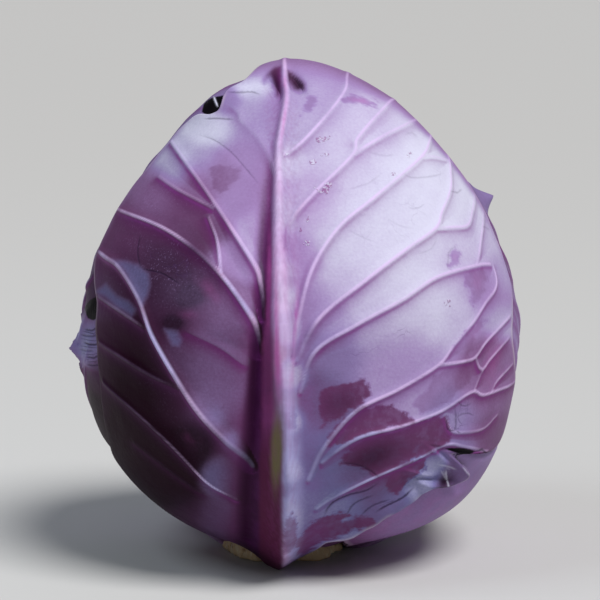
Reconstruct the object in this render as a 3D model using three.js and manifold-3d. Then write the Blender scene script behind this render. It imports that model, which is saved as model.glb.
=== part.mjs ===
// A head of red cabbage, trimmed and standing on its cut stem.
// Millimetres, +Z up. The origin is the middle of the stem's cut face. -Y is the side that the
// outermost leaf covers, and +X is to the right of someone who looks at that leaf.
//
// Every piece hangs on one smooth egg, the head's outside. A direction from the middle of the egg
// gives a place on it, and a depth below it, measured towards the core, gives a place inside.
// The leaves lie in layers: each one is as deep as the leaves outside it are thick, and it rises
// to the outside again where they end. The knife that cut the stem cut the leaf bases level too.

import * as THREE from "three";
import { mergeVertices } from "three/addons/utils/BufferGeometryUtils.js";
import Module from "manifold-3d";

const wasm = await Module();
wasm.setup();

// --- Driving dimensions ---

const HEAD_WIDTH = 150;
const HEAD_HEIGHT = 171;
const DEPTH_SHARE = 0.97; // front to back, as a share of the width
const HEAD_LEAN = 6.3; // how far the middle of the head stands to +X of the stem

const LEAF_THICKNESS = 0.8;
const LEAF_GAP = 1.2; // air between one leaf and the next
const OUTLINE_RUFFLE = 0.012; // how far the leaf edge waves, as a share of its reach
const RUFFLE_WAVES = 11;
const SETTLING_BAND = 0.34; // a deeper leaf rises over this share of the outer leaf's reach
const FREE_FROM = 1.1; // from here its rib and flares begin to stand free of that leaf
const FREE_AT = 1.26; // and here they are wholly free

const RIB_HEIGHT_AT_STEM = 7;
const RIB_HEIGHT_AT_TIP = 0.6;
const RIB_HALF_WIDTH_AT_STEM = 9;
const RIB_HALF_WIDTH_AT_TIP = 3;

const STEM_RADIUS = 19.5;
const STEM_TOP = 26; // how high the stem reaches into the heart
const STEM_TAPER = 0.72; // its radius at the top, as a share of the cut face's
const CUT_CHAMFER = 0.8;
const FITTING_GAP = 0.35; // between the stem and what grows round it

const CORE_LOW = 0.3; // the core line, as shares of the head's height
const CORE_HIGH = 0.6;

// --- How finely the surfaces are divided ---

const LEAF_COLUMNS = 24;
const LEAF_ROWS = 18;
const RIB_CROWDING = 0.5; // how much closer the columns stand at the midrib
const HEART_SEGMENTS = 32;
const HEART_RINGS = 20;
const STEM_SIDES = 32;

// --- Finishes ---

const HEART_COLOUR = 0x8b78a6;
const STEM_COLOUR = 0xcbbf9a;
const WAXY = 0.45; // roughness
const CUT = 0.7;

const HALF_WIDTH = HEAD_WIDTH / 2;
const LAYER = LEAF_THICKNESS + LEAF_GAP;
const DEGREE = Math.PI / 180;

// The egg's outline from its bottom pole to its top pole, in equal turns of a line from its
// middle: radius as a share of the half width, height as a share of the head's height, and how
// far its middle leans, as a share of HEAD_LEAN.
const EGG_OUTLINE = [
  [0, 0.018, 0],
  [0.35, 0.036, 0.9],
  [0.69, 0.103, 1.35],
  [0.914, 0.234, 1.07],
  [0.992, 0.391, 1],
  [0.976, 0.543, 1],
  [0.857, 0.685, 1],
  [0.658, 0.812, 1],
  [0.388, 0.931, 0.85],
  [0, 1, 0.6],
];

// The reach of a leaf's edge from the leaf's middle, in degrees of the head, every 30 degrees
// anticlockwise from its right side as seen from outside.
const COMMON_REACH = [80, 84, 90, 96, 90, 84, 80, 80, 82, 76, 82, 80];
const TIP = 3; // the place of the leaf's tip in that list
const BASE = 9; // and of its base at the stem

// From the outermost leaf inwards. azimuth is the turn of the leaf's middle from -Y towards +X,
// rise its height above the egg's middle, and roll the turn of its midrib, in degrees. A flare is
// a place where the blade stands away from the head: where, how wide, in degrees, and how far.
const LEAVES = [
  {
    name: "front_leaf",
    colour: 0x9a86b4,
    azimuth: -5.4,
    rise: 0,
    roll: 1.5,
    reach: [76, 87, 94, 102, 81, 76, 61, 74, 84, 74, 58, 82],
    flares: [],
  },
  {
    name: "right_leaf",
    colour: 0x6f4a86,
    azimuth: 120,
    rise: 2,
    roll: -4,
    reach: [80, 84, 88, 92, 90, 88, 88, 96, 100, 78, 80, 80],
    flares: [{ azimuth: 106, rise: 35, spread: 6, reach: 8 }],
  },
  {
    name: "left_leaf",
    colour: 0x573a6c,
    azimuth: -118,
    rise: 0,
    roll: 4,
    reach: [84, 86, 90, 94, 88, 82, 78, 80, 84, 76, 84, 84],
    flares: [{ azimuth: -92, rise: -7, spread: 7, reach: 7.5 }],
  },
  {
    name: "back_leaf",
    colour: 0x7b6494,
    azimuth: 176,
    rise: 4,
    roll: 3,
    reach: COMMON_REACH,
    flares: [],
  },
  {
    name: "right_front_leaf",
    colour: 0x84709c,
    azimuth: 50,
    rise: 3,
    roll: -3,
    reach: COMMON_REACH,
    flares: [],
  },
  {
    name: "left_front_leaf",
    colour: 0x6a5482,
    azimuth: -52,
    rise: 3,
    roll: 3,
    reach: COMMON_REACH,
    flares: [],
  },
  {
    name: "left_back_leaf",
    colour: 0x725a8a,
    azimuth: -150,
    rise: 5,
    roll: -2,
    reach: COMMON_REACH,
    flares: [],
  },
];

// --- Curves ---

// The smooth curve through four values in a row, between the middle two.
function smoothBetween(before, from, to, after, share) {
  const slope = to - before;
  const bend = 2 * before - 5 * from + 4 * to - after;
  const twist = 3 * (from - to) + after - before;
  return from + 0.5 * share * (slope + share * (bend + share * twist));
}

function smoothStep(low, high, value) {
  const share = Math.min(1, Math.max(0, (value - low) / (high - low)));
  return share * share * (3 - 2 * share);
}

function mix(from, to, share) {
  return from + (to - from) * share;
}

// A direction from the egg's middle. Azimuth 0 is -Y, and rise is above the horizon.
function directionOf(azimuth, rise) {
  const level = Math.cos(rise * DEGREE);
  const east = level * Math.sin(azimuth * DEGREE);
  const north = -level * Math.cos(azimuth * DEGREE);
  return new THREE.Vector3(east, north, Math.sin(rise * DEGREE));
}

// --- The egg ---

// A row of EGG_OUTLINE. Past a pole the outline comes back on the other side.
function outlineRow(index) {
  const last = EGG_OUTLINE.length - 1;
  if (index >= 0 && index <= last) return EGG_OUTLINE[index];
  const [radius, height, lean] = EGG_OUTLINE[index < 0 ? -index : 2 * last - index];
  return [-radius, height, lean];
}

function onEgg(direction) {
  const turn = Math.acos(Math.min(1, Math.max(-1, -direction.z)));
  const place = (turn / Math.PI) * (EGG_OUTLINE.length - 1);
  const index = Math.min(Math.floor(place), EGG_OUTLINE.length - 2);
  const rows = [-1, 0, 1, 2].map((step) => outlineRow(index + step));
  const [radius, height, lean] = [0, 1, 2].map((column) =>
    smoothBetween(...rows.map((row) => row[column]), place - index),
  );
  const level = Math.hypot(direction.x, direction.y) || 1;
  return new THREE.Vector3(
    lean * HEAD_LEAN + (radius * HALF_WIDTH * direction.x) / level,
    (DEPTH_SHARE * radius * HALF_WIDTH * direction.y) / level,
    height * HEAD_HEIGHT,
  );
}

// The way out of the head at a place on the egg: away from the nearest point of the core line.
function wayOut(place) {
  const lean = HEAD_LEAN * smoothStep(0, CORE_LOW, place.z / HEAD_HEIGHT);
  const low = CORE_LOW * HEAD_HEIGHT;
  const high = CORE_HIGH * HEAD_HEIGHT;
  const core = new THREE.Vector3(lean, 0, Math.min(high, Math.max(low, place.z)));
  return place.clone().sub(core).normalize();
}

function belowEgg(direction, depth) {
  const place = onEgg(direction);
  return place.addScaledVector(wayOut(place), -depth);
}

// --- A leaf's own map ---

// The leaf's middle, its right and its way up, as directions.
function leafFrame(leaf) {
  const middle = directionOf(leaf.azimuth, leaf.rise);
  const up = directionOf(leaf.azimuth, leaf.rise + 90).applyAxisAngle(
    middle,
    leaf.roll * DEGREE,
  );
  return { middle, up, right: up.clone().cross(middle) };
}

// How far the leaf's edge is from its middle, in degrees, at a turn on its map.
function reachAt(leaf, turn) {
  const steps = leaf.reach.length;
  const place = ((turn / (2 * Math.PI) + 1) % 1) * steps;
  const index = Math.floor(place);
  const near = [-1, 0, 1, 2].map((step) => leaf.reach[(index + step + steps) % steps]);
  const wave = 1 + OUTLINE_RUFFLE * Math.sin(RUFFLE_WAVES * turn);
  return smoothBetween(...near, place - index) * wave;
}

// The place of a direction on a leaf's map: how far towards the edge it is (1 is the edge),
// how far to the right of the midrib in degrees, and how far along the midrib in degrees.
function onLeafMap(leaf, direction) {
  const across = direction.dot(leaf.frame.right);
  const along = direction.dot(leaf.frame.up);
  const turn = Math.atan2(along, across);
  const angle = Math.acos(Math.min(1, Math.max(-1, direction.dot(leaf.frame.middle))));
  const degrees = angle / DEGREE;
  return {
    share: degrees / reachAt(leaf, turn),
    across: degrees * Math.cos(turn),
    along: degrees * Math.sin(turn),
  };
}

// The direction of a point of the square that a leaf is divided in: column and row run from -1
// to 1. The square is rounded to a disc, and the disc stretched to the leaf's edge.
function directionInLeaf(leaf, column, row) {
  const crowded = column - (RIB_CROWDING * Math.sin(2 * Math.PI * column)) / (2 * Math.PI);
  const x = crowded * Math.sqrt(1 - (row * row) / 2);
  const y = row * Math.sqrt(1 - (crowded * crowded) / 2);
  const turn = Math.atan2(y, x);
  const angle = Math.hypot(x, y) * reachAt(leaf, turn) * DEGREE;
  return leaf.frame.middle
    .clone()
    .multiplyScalar(Math.cos(angle))
    .addScaledVector(leaf.frame.right, Math.sin(angle) * Math.cos(turn))
    .addScaledVector(leaf.frame.up, Math.sin(angle) * Math.sin(turn));
}

// 1 where a leaf is, falling to 0 over the band round its edge.
function cover(leaf, direction) {
  return 1 - smoothStep(1, 1 + SETTLING_BAND, onLeafMap(leaf, direction).share);
}

function depthUnder(outerLeaves, direction) {
  return outerLeaves.reduce((depth, leaf) => depth + LAYER * cover(leaf, direction), 0);
}

// How far the leaf stands out at its midrib and its flares, where no outer leaf presses on it.
function standOut(leaf, outerLeaves, direction) {
  const bare = outerLeaves.reduce(
    (share, outer) => share * smoothStep(FREE_FROM, FREE_AT, onLeafMap(outer, direction).share),
    1,
  );
  const { across, along } = onLeafMap(leaf, direction);
  const base = leaf.reach[BASE];
  const tip = leaf.reach[TIP];
  const grown = Math.min(1, Math.max(0, (along + base) / (base + tip)));
  const toTip = Math.sqrt(grown);
  const halfWidth = mix(RIB_HALF_WIDTH_AT_STEM, RIB_HALF_WIDTH_AT_TIP, toTip);
  const beside = (across * DEGREE * HALF_WIDTH) / halfWidth;
  const rib = mix(RIB_HEIGHT_AT_STEM, RIB_HEIGHT_AT_TIP, toTip) * Math.exp(-beside * beside);
  const flared = leaf.flares.reduce((height, flare) => {
    const away = direction.angleTo(directionOf(flare.azimuth, flare.rise)) / DEGREE;
    return height + flare.reach * Math.exp(-((away / flare.spread) ** 2));
  }, 0);
  return { rib: rib * bare, flared: flared * bare };
}

// --- Solids ---

function solidFrom(geometry) {
  const { position } = geometry.attributes;
  return new wasm.Manifold(
    new wasm.Mesh({
      numProp: 3,
      vertProperties: position.array,
      triVerts: new Uint32Array(geometry.index.array),
    }),
  );
}

function geometryFrom(solid) {
  const { vertProperties, triVerts } = solid.getMesh();
  const geometry = new THREE.BufferGeometry();
  geometry.setAttribute("position", new THREE.BufferAttribute(vertProperties, 3));
  geometry.setIndex(new THREE.BufferAttribute(triVerts, 1));
  geometry.computeVertexNormals();
  return geometry;
}

// A geometry with its doubled vertices joined, and each vertex moved by a function.
function reshaped(geometry, move) {
  geometry.deleteAttribute("normal");
  geometry.deleteAttribute("uv");
  const joined = mergeVertices(geometry);
  const { position } = joined.attributes;
  const vertex = new THREE.Vector3();
  for (let index = 0; index < position.count; index += 1) {
    const moved = move(vertex.fromBufferAttribute(position, index));
    position.setXYZ(index, moved.x, moved.y, moved.z);
  }
  return joined;
}

// What the stem takes up, a little larger all round.
function stemRoom() {
  const radius = STEM_RADIUS + FITTING_GAP;
  const outline = [
    new THREE.Vector2(0, -HEAD_HEIGHT),
    new THREE.Vector2(radius, -HEAD_HEIGHT),
    new THREE.Vector2(radius, 0),
    new THREE.Vector2(radius * STEM_TAPER, STEM_TOP + FITTING_GAP),
    new THREE.Vector2(0, STEM_TOP + FITTING_GAP),
  ];
  return solidFrom(turned(outline));
}

// A profile of radius and height, turned about +Z.
function turned(outline) {
  const lathe = new THREE.LatheGeometry(outline, STEM_SIDES);
  return reshaped(lathe.rotateX(Math.PI / 2), (vertex) => vertex);
}

// All the space above the knife's cut.
function aboveTheCut() {
  const box = new THREE.BoxGeometry(4 * HEAD_WIDTH, 4 * HEAD_WIDTH, 2 * HEAD_HEIGHT);
  return solidFrom(reshaped(box.translate(0, 0, HEAD_HEIGHT), (vertex) => vertex));
}

function trimmed(geometry) {
  const cut = solidFrom(geometry).subtract(stemRoom()).intersect(aboveTheCut());
  const largest = cut.decompose().sort((one, other) => other.volume() - one.volume())[0];
  return geometryFrom(largest);
}

function mesh(name, geometry, colour, roughness) {
  const material = new THREE.MeshStandardMaterial({ color: colour, roughness, metalness: 0 });
  const made = new THREE.Mesh(geometry, material);
  made.name = name;
  return made;
}

// --- Pieces ---

// A leaf is a slab, divided in columns and rows, bent round the head: its outer face lies one
// layer under the leaves outside it, and its inner face a leaf's thickness below that.
function leafMesh(leaf, outerLeaves) {
  const slab = new THREE.BoxGeometry(2, 2, 1, LEAF_COLUMNS, LEAF_ROWS, 1);
  const bent = reshaped(slab, ({ x: column, y: row, z: side }) => {
    const direction = directionInLeaf(leaf, column, row);
    const depth = depthUnder(outerLeaves, direction);
    const { rib, flared } = standOut(leaf, outerLeaves, direction);
    if (side > 0) return belowEgg(direction, depth - rib - flared);
    return belowEgg(direction, depth + LEAF_THICKNESS - flared);
  });
  return mesh(leaf.name, trimmed(bent), leaf.colour, WAXY);
}

// The heart is the ball of small leaves packed tight inside the wrapper leaves.
function heartMesh(leaves) {
  const ball = new THREE.SphereGeometry(1, HEART_SEGMENTS, HEART_RINGS).rotateX(Math.PI / 2);
  const packed = reshaped(ball, (vertex) => {
    const direction = vertex.clone().normalize();
    return belowEgg(direction, depthUnder(leaves, direction) + FITTING_GAP);
  });
  return mesh("heart", trimmed(packed), HEART_COLOUR, WAXY);
}

function stemMesh() {
  const outline = [
    new THREE.Vector2(0, 0),
    new THREE.Vector2(STEM_RADIUS - CUT_CHAMFER, 0),
    new THREE.Vector2(STEM_RADIUS, CUT_CHAMFER),
    new THREE.Vector2(STEM_RADIUS * STEM_TAPER, STEM_TOP),
    new THREE.Vector2(0, STEM_TOP),
  ];
  return mesh("cut_stem", geometryFrom(solidFrom(turned(outline))), STEM_COLOUR, CUT);
}

const leaves = LEAVES.map((leaf) => ({ ...leaf, frame: leafFrame(leaf) }));
const cabbage = new THREE.Group();
cabbage.add(stemMesh());
cabbage.add(heartMesh(leaves));
leaves.forEach((leaf, index) => cabbage.add(leafMesh(leaf, leaves.slice(0, index))));

export default cabbage;
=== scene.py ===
# %% [markdown]
# # A head of red cabbage
#
# This lesson builds a trimmed head of red cabbage round a frame that was made in CAD. The frame
# says where each leaf, the heart and the stem are. Here each of them gets its real surface: the
# thick midrib, the side veins that branch towards the edge, the wavy margins, the wax that makes
# the purple look pale blue, and the dark patches where the wax was rubbed off.
#
# The head stands on its cut stem, with +Z up. The outermost leaf faces -Y.

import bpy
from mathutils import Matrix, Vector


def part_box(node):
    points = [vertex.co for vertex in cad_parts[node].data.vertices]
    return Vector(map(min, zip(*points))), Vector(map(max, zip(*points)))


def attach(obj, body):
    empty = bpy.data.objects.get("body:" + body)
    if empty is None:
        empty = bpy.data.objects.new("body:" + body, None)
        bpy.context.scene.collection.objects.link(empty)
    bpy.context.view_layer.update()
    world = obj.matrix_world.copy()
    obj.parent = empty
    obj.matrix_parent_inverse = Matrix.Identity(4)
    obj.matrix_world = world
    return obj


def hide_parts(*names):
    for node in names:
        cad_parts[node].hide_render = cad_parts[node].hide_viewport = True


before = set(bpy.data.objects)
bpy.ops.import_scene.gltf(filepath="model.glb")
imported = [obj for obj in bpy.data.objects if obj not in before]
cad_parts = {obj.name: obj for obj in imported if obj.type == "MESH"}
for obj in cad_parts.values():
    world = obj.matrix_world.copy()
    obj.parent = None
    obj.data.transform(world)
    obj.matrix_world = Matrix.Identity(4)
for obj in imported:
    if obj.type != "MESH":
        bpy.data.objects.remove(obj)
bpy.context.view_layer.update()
print("CAD nodes:", ", ".join(sorted(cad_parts)))

# %% [markdown]
# ## Tools and units
#
# NumPy moves thousands of points in one line, so the leaves are worked out with it, in
# millimetres, and turned into metres when a mesh is made. `node` adds one node to a tree and sets
# its inputs, to a link or a plain value each. `calc`, `times` and `plus` add Math nodes, so that
# a sum in a tree reads as a sum.

# %% Imports and small helpers
import math

import bmesh
import bpy
import numpy as np
from mathutils import Vector
from mathutils.bvhtree import BVHTree

MM = 0.001


def node(tree, kind, inputs=None, **settings):
    made = tree.nodes.new(kind)
    for name, value in settings.items():
        setattr(made, name, value)
    for name, value in (inputs or {}).items():
        if isinstance(value, bpy.types.NodeSocket):
            tree.links.new(value, made.inputs[name])
        else:
            made.inputs[name].default_value = value
    return made


def calc(tree, operation, *values):
    made = node(tree, "ShaderNodeMath", dict(enumerate(values)), operation=operation)
    return made.outputs[0]


def times(tree, first, *others):
    for other in others:
        first = calc(tree, "MULTIPLY", first, other)
    return first


def plus(tree, first, *others):
    for other in others:
        first = calc(tree, "ADD", first, other)
    return first


def linked(name, data):
    """A new object, put in the scene."""
    made = bpy.data.objects.new(name, data)
    bpy.context.scene.collection.objects.link(made)
    return made


def smooth_step(low, high, value):
    share = np.clip((value - low) / (high - low), 0, 1)
    return share * share * (3 - 2 * share)


def smooth_between(before, start, end, after, share):
    slope = end - before
    bend = 2 * before - 5 * start + 4 * end - after
    twist = 3 * (start - end) + after - before
    return start + 0.5 * share * (slope + share * (bend + share * twist))


# %% [markdown]
# ## The egg
#
# Every leaf hugs one smooth egg, so the egg comes first. Its outline is a list of rows from the
# bottom pole to the top pole. A subdivided sphere could be pulled into shape by hand instead, but
# a formula lets each leaf ask where the outside is in any direction, and how to go deeper.

# %% The egg's formula
HEAD_WIDTH = 150.0
HEAD_HEIGHT = 171.0
DEPTH_SHARE = 0.97
HEAD_LEAN = 6.3
CORE_LOW, CORE_HIGH = 0.3, 0.6  # the ends of the line that way_out points away from

# Radius as a share of half the width, height as a share of the height, and how far it leans.
EGG_OUTLINE = np.array([
    [0, 0.018, 0], [0.35, 0.036, 0.9], [0.69, 0.103, 1.35], [0.914, 0.234, 1.07], [0.992, 0.391, 1],
    [0.976, 0.543, 1], [0.857, 0.685, 1], [0.658, 0.812, 1], [0.388, 0.931, 0.85], [0, 1, 0.6],
])


def outline_rows(index):
    last = len(EGG_OUTLINE) - 1
    past_pole = (index < 0) | (index > last)
    index = np.where(index < 0, -index, np.where(index > last, 2 * last - index, index))
    rows = EGG_OUTLINE[index].copy()
    rows[past_pole, 0] *= -1
    return rows


def on_egg(directions):
    turn = np.arccos(np.clip(-directions[:, 2], -1, 1))
    place = turn / np.pi * (len(EGG_OUTLINE) - 1)
    index = np.minimum(place.astype(int), len(EGG_OUTLINE) - 2)
    rows = [outline_rows(index + step) for step in (-1, 0, 1, 2)]
    radius, height, lean = smooth_between(*rows, (place - index)[:, None]).T
    radius = radius * HEAD_WIDTH / 2
    level = np.maximum(np.hypot(directions[:, 0], directions[:, 1]), 1e-9)
    x = lean * HEAD_LEAN + radius * directions[:, 0] / level
    y = DEPTH_SHARE * radius * directions[:, 1] / level
    return np.stack([x, y, height * HEAD_HEIGHT], axis=1)


def unit(vectors):
    return vectors / np.linalg.norm(vectors, axis=1, keepdims=True)


def way_out(places):
    height = places[:, 2]
    core = np.zeros_like(places)
    core[:, 0] = HEAD_LEAN * smooth_step(0, CORE_LOW, height / HEAD_HEIGHT)
    core[:, 2] = np.clip(height, CORE_LOW * HEAD_HEIGHT, CORE_HIGH * HEAD_HEIGHT)
    return unit(places - core)


def direction_of(azimuth, rise):
    azimuth, rise = np.radians(azimuth), np.radians(rise)
    level = np.cos(rise)
    return np.stack([level * np.sin(azimuth), -level * np.cos(azimuth), np.sin(rise)], axis=-1)


print("The egg is", HEAD_WIDTH, "mm wide and", HEAD_HEIGHT, "mm high.")

# %% [markdown]
# ## Camera, light and floor
#
# The camera comes early, because the front leaf's veins are placed as the eye sees them: so many
# millimetres across and up from the stem, straight onto the leaf. It stands 0.9 m away and looks
# down 8 degrees, as someone does who sits at the table.

# %% The camera
CAMERA_DISTANCE = 900.0
CAMERA_DROP = math.radians(8)
FRAME_WIDTH = 210.0  # what the view is across, at the stem
FRAME_MIDDLE = (5.95, 87.15)  # across and up from the stem's cut face
SENSOR = 36.0

ACROSS = np.array([1.0, 0.0, 0.0])
UP = np.array([0.0, math.sin(CAMERA_DROP), math.cos(CAMERA_DROP)])
AHEAD = np.array([0.0, math.cos(CAMERA_DROP), -math.sin(CAMERA_DROP)])
CAMERA_PLACE = FRAME_MIDDLE[0] * ACROSS + FRAME_MIDDLE[1] * UP - CAMERA_DISTANCE * AHEAD

camera_data = bpy.data.cameras.new("camera")
camera_data.sensor_width = SENSOR
camera_data.lens = SENSOR * CAMERA_DISTANCE / FRAME_WIDTH
camera = linked("camera", camera_data)
camera.location = CAMERA_PLACE * MM
camera.rotation_euler = (math.pi / 2 - CAMERA_DROP, 0, 0)
bpy.context.scene.camera = camera
print("lens:", round(camera_data.lens, 1), "mm")


def seen_from_front(places):
    """Across and up, in millimetres, as the camera sees points in millimetres."""
    from_camera = places - CAMERA_PLACE
    nearness = CAMERA_DISTANCE / (from_camera @ AHEAD)
    across = from_camera @ ACROSS * nearness + FRAME_MIDDLE[0]
    up = from_camera @ UP * nearness + FRAME_MIDDLE[1]
    return np.stack([across, up], axis=1)


# %% [markdown]
# ## Soft daylight
#
# The look of a cabbage depends on where its light comes from: a ridge shows only when one of its
# sides is brighter than the other. The key is a wide sun from the upper right. A wide sun lights
# the whole floor evenly too, so the floor stays plain up to the horizon. A small cool light from
# the upper left gives the wax its pale sheen there.

# %% Light, floor and background
KEY_TOWARDS = (44, 57)  # azimuth from the front and rise, in degrees
KEY_WIDTH = math.radians(26)
KEY_STRENGTH = 3.0
SHEEN_TOWARDS = (-62, 50)
SHEEN_POWER = 2.4
ROOM_STRENGTH = 0.17
FLOOR_HALF = 14.0
FLOOR_SHADE = 0.6


def aimed_light(name, kind, towards, distance):
    lamp = bpy.data.lights.new(name, kind)
    placed = linked(name, lamp)
    heading = Vector(direction_of(*towards))
    placed.location = Vector((0, 0, HEAD_HEIGHT / 2 * MM)) + heading * distance
    placed.rotation_euler = heading.to_track_quat("Z", "Y").to_euler()
    return lamp


key = aimed_light("key_light", "SUN", KEY_TOWARDS, 2.0)
key.angle = KEY_WIDTH
key.energy = KEY_STRENGTH
key.color = (1.0, 0.985, 0.965)
sheen = aimed_light("sheen_light", "AREA", SHEEN_TOWARDS, 1.1)
sheen.size = 0.45
sheen.energy = SHEEN_POWER
sheen.color = (0.80, 0.92, 1.0)

floor_mesh = bpy.data.meshes.new("floor")
corners = [(-1, -1), (1, -1), (1, 1), (-1, 1)]
floor_mesh.from_pydata([(x * FLOOR_HALF, y * FLOOR_HALF, 0) for x, y in corners], [], [(0, 1, 2, 3)])
floor = linked("floor", floor_mesh)
floor_paint = bpy.data.materials.new("pale floor")
floor_paint.use_nodes = True
floor_shader = floor_paint.node_tree.nodes["Principled BSDF"]
floor_shader.inputs["Base Color"].default_value = (FLOOR_SHADE, FLOOR_SHADE, FLOOR_SHADE, 1)
floor_shader.inputs["Roughness"].default_value = 0.9
floor_mesh.materials.append(floor_paint)

world = bpy.data.worlds.new("studio")
bpy.context.scene.world = world
world.use_nodes = True
background = world.node_tree.nodes["Background"]
background.inputs["Color"].default_value = (0.93, 0.96, 1.0, 1)
background.inputs["Strength"].default_value = ROOM_STRENGTH
bpy.context.scene.view_settings.view_transform = "Standard"

# %% [markdown]
# ## A leaf's own map
#
# A leaf is a round-ish sheet bent over the egg. On its own map it is a disc: the middle of the
# disc is the middle of the leaf, and the distance from there is measured in degrees of the head.
# The edge is a list of reaches, one for each turn round the disc. A square grid is rounded to the
# disc first, because a square grid has tidy rows to build faces from.

# %% The leaves
# Reaches in degrees, at every 30 degrees of turn, or with the turn before each reach.
EVEN_EDGE = [80, 84, 90, 96, 90, 84, 80, 80, 82, 76, 82, 80]
FRONT_EDGE = [
    (0, 76), (14, 83), (30, 87), (60, 94), (85, 102), (92, 100), (96, 90), (99, 80), (103, 76.5),
    (106, 70), (109, 70.5), (112, 75), (114, 77), (120, 79), (135, 78.5), (150, 78), (160, 73), (168, 62),
    (180, 60), (195, 60), (207, 64), (216, 77), (230, 82), (241, 80), (249, 71), (257, 73),
    (266, 76), (272, 67), (277, 56), (285, 55), (290, 52.6), (296, 51.5), (303, 51.6), (308, 53.2),
    (311, 54), (312.5, 53.6), (314, 56.5), (315.5, 64), (318, 68.5), (321, 66), (323, 62),
    (324.5, 54), (325.5, 54), (326.5, 66), (328, 80), (331, 86), (340, 90), (350, 80),
]

LEAVES = [
    dict(name="front_leaf", azimuth=-5.4, rise=0, roll=1.5, edge=FRONT_EDGE),
    dict(name="right_leaf", azimuth=120, rise=2, roll=-4,
         edge=[80, 84, 88, 92, 90, 88, 88, 96, 100, 78, 80, 80]),
    dict(name="left_leaf", azimuth=-118, rise=0, roll=4,
         edge=[84, 86, 90, 94, 88, 82, 78, 80, 84, 76, 84, 84]),
    dict(name="back_leaf", azimuth=176, rise=4, roll=3, edge=EVEN_EDGE),
    dict(name="right_front_leaf", azimuth=50, rise=3, roll=-3, edge=EVEN_EDGE),
    dict(name="left_front_leaf", azimuth=-52, rise=3, roll=3, edge=EVEN_EDGE),
    dict(name="left_back_leaf", azimuth=-150, rise=5, roll=-2, edge=EVEN_EDGE),
]
TABLE_STEPS = 720  # half degrees of turn
EVEN_ROUNDING, DRAWN_ROUNDING, CALM_ROUNDING = 25, 3, 50  # half degrees to both sides
EDGE_WAVES = [(11, 0, 0.006), (37, 1, 0.004)]  # how many round the leaf, phase, share of the reach


def rounded(table, width):
    """The table averaged over width steps to both sides, round the whole turn."""
    kernel = np.hanning(2 * width + 3)[1:-1]
    kernel /= kernel.sum()
    around = np.concatenate([table[-width:], table, table[:width]])
    return np.convolve(around, kernel, mode="valid")


def edge_table(edge):
    """A leaf's reach at each half degree of turn, with the corners of the list rounded off."""
    rounding = DRAWN_ROUNDING
    if not isinstance(edge[0], tuple):
        edge = [(30 * index, reach) for index, reach in enumerate(edge)]
        rounding = EVEN_ROUNDING
    turns = np.array([turn for turn, _ in edge], float)
    reaches = np.array([reach for _, reach in edge], float)
    steps = np.arange(TABLE_STEPS) / 2
    table = rounded(np.interp(steps, turns, reaches, period=360), rounding)
    waves = sum(size * np.sin(np.radians(steps) * count + phase) for count, phase, size in EDGE_WAVES)
    return table * (1 + waves)


def add_frame(leaf):
    middle = direction_of(leaf["azimuth"], leaf["rise"])
    upright = direction_of(leaf["azimuth"], leaf["rise"] + 90)
    roll = math.radians(leaf["roll"])
    leaf["middle"] = middle
    leaf["up"] = upright * math.cos(roll) + np.cross(middle, upright) * math.sin(roll)
    leaf["right"] = np.cross(leaf["up"], middle)
    leaf["reaches"] = edge_table(leaf["edge"])
    leaf["calm"] = rounded(leaf["reaches"], CALM_ROUNDING)


for leaf in LEAVES:
    add_frame(leaf)
    least, most = leaf["reaches"].min(), leaf["reaches"].max()
    print(leaf["name"], "reaches", round(least), "to", round(most), "degrees")


def reach_at(leaf, turn, table="reaches"):
    return np.interp(np.degrees(turn) % 360, np.arange(TABLE_STEPS) / 2, leaf[table], period=360)


def on_leaf_map(leaf, directions):
    """Share of the way to the edge, then degrees across and degrees along the midrib."""
    across, along = directions @ leaf["right"], directions @ leaf["up"]
    turn = np.arctan2(along, across)
    degrees = np.degrees(np.arccos(np.clip(directions @ leaf["middle"], -1, 1)))
    return degrees / reach_at(leaf, turn), degrees * np.cos(turn), degrees * np.sin(turn)


def off_leaf_map(leaf, across, along):
    """The direction from the egg's middle of a place on the leaf's map."""
    angle = np.radians(np.hypot(across, along))[:, None]
    turn = np.arctan2(along, across)[:, None]
    sideways = np.cos(turn) * leaf["right"] + np.sin(turn) * leaf["up"]
    return np.cos(angle) * leaf["middle"] + np.sin(angle) * sideways


# %% [markdown]
# ## Layers
#
# A head is leaf on leaf. The outermost leaf lies on the egg, and each deeper leaf lies one layer
# lower wherever an outer leaf covers it, and rises again past that leaf's edge. Two crossing
# sheets would show as jagged lines, so the depth of a leaf is simply the sum of its covers. Under
# the middle of the front leaf nobody looks, so the others lie a little deeper there, which leaves
# room for its folds.

# %% Depth of a leaf
LEAF_THICKNESS = 0.7
EDGE_THICKNESS = 0.4
LAYER = 1.55
HIDDEN_ROOM = 2.6
HIDDEN_BAND = (0.72, 0.93)  # shares of the front leaf's reach between which that room runs out
SETTLING_BAND = 0.3  # shares of the reach past an edge in which a deeper leaf rises again
BARE_BAND = (1.0, 1.12)  # shares of an outer leaf's reach between which the veins come up


def cover(leaf, directions):
    """How much deeper a leaf lies, in millimetres, because of one outer leaf."""
    share = on_leaf_map(leaf, directions)[0]
    hidden = HIDDEN_ROOM * (1 - smooth_step(*HIDDEN_BAND, share)) if leaf is LEAVES[0] else 0
    return (LAYER + hidden) * (1 - smooth_step(1, 1 + SETTLING_BAND, share))


def bareness(outer_leaves, directions):
    """1 where no outer leaf covers the blade."""
    bare = np.ones(len(directions))
    for outer in outer_leaves:
        bare *= smooth_step(*BARE_BAND, on_leaf_map(outer, directions)[0])
    return bare


def below_egg(directions, depth):
    places = on_egg(directions)
    return places - way_out(places) * depth[:, None]


print("Each leaf lies", LAYER, "mm under the one outside it.")

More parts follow.
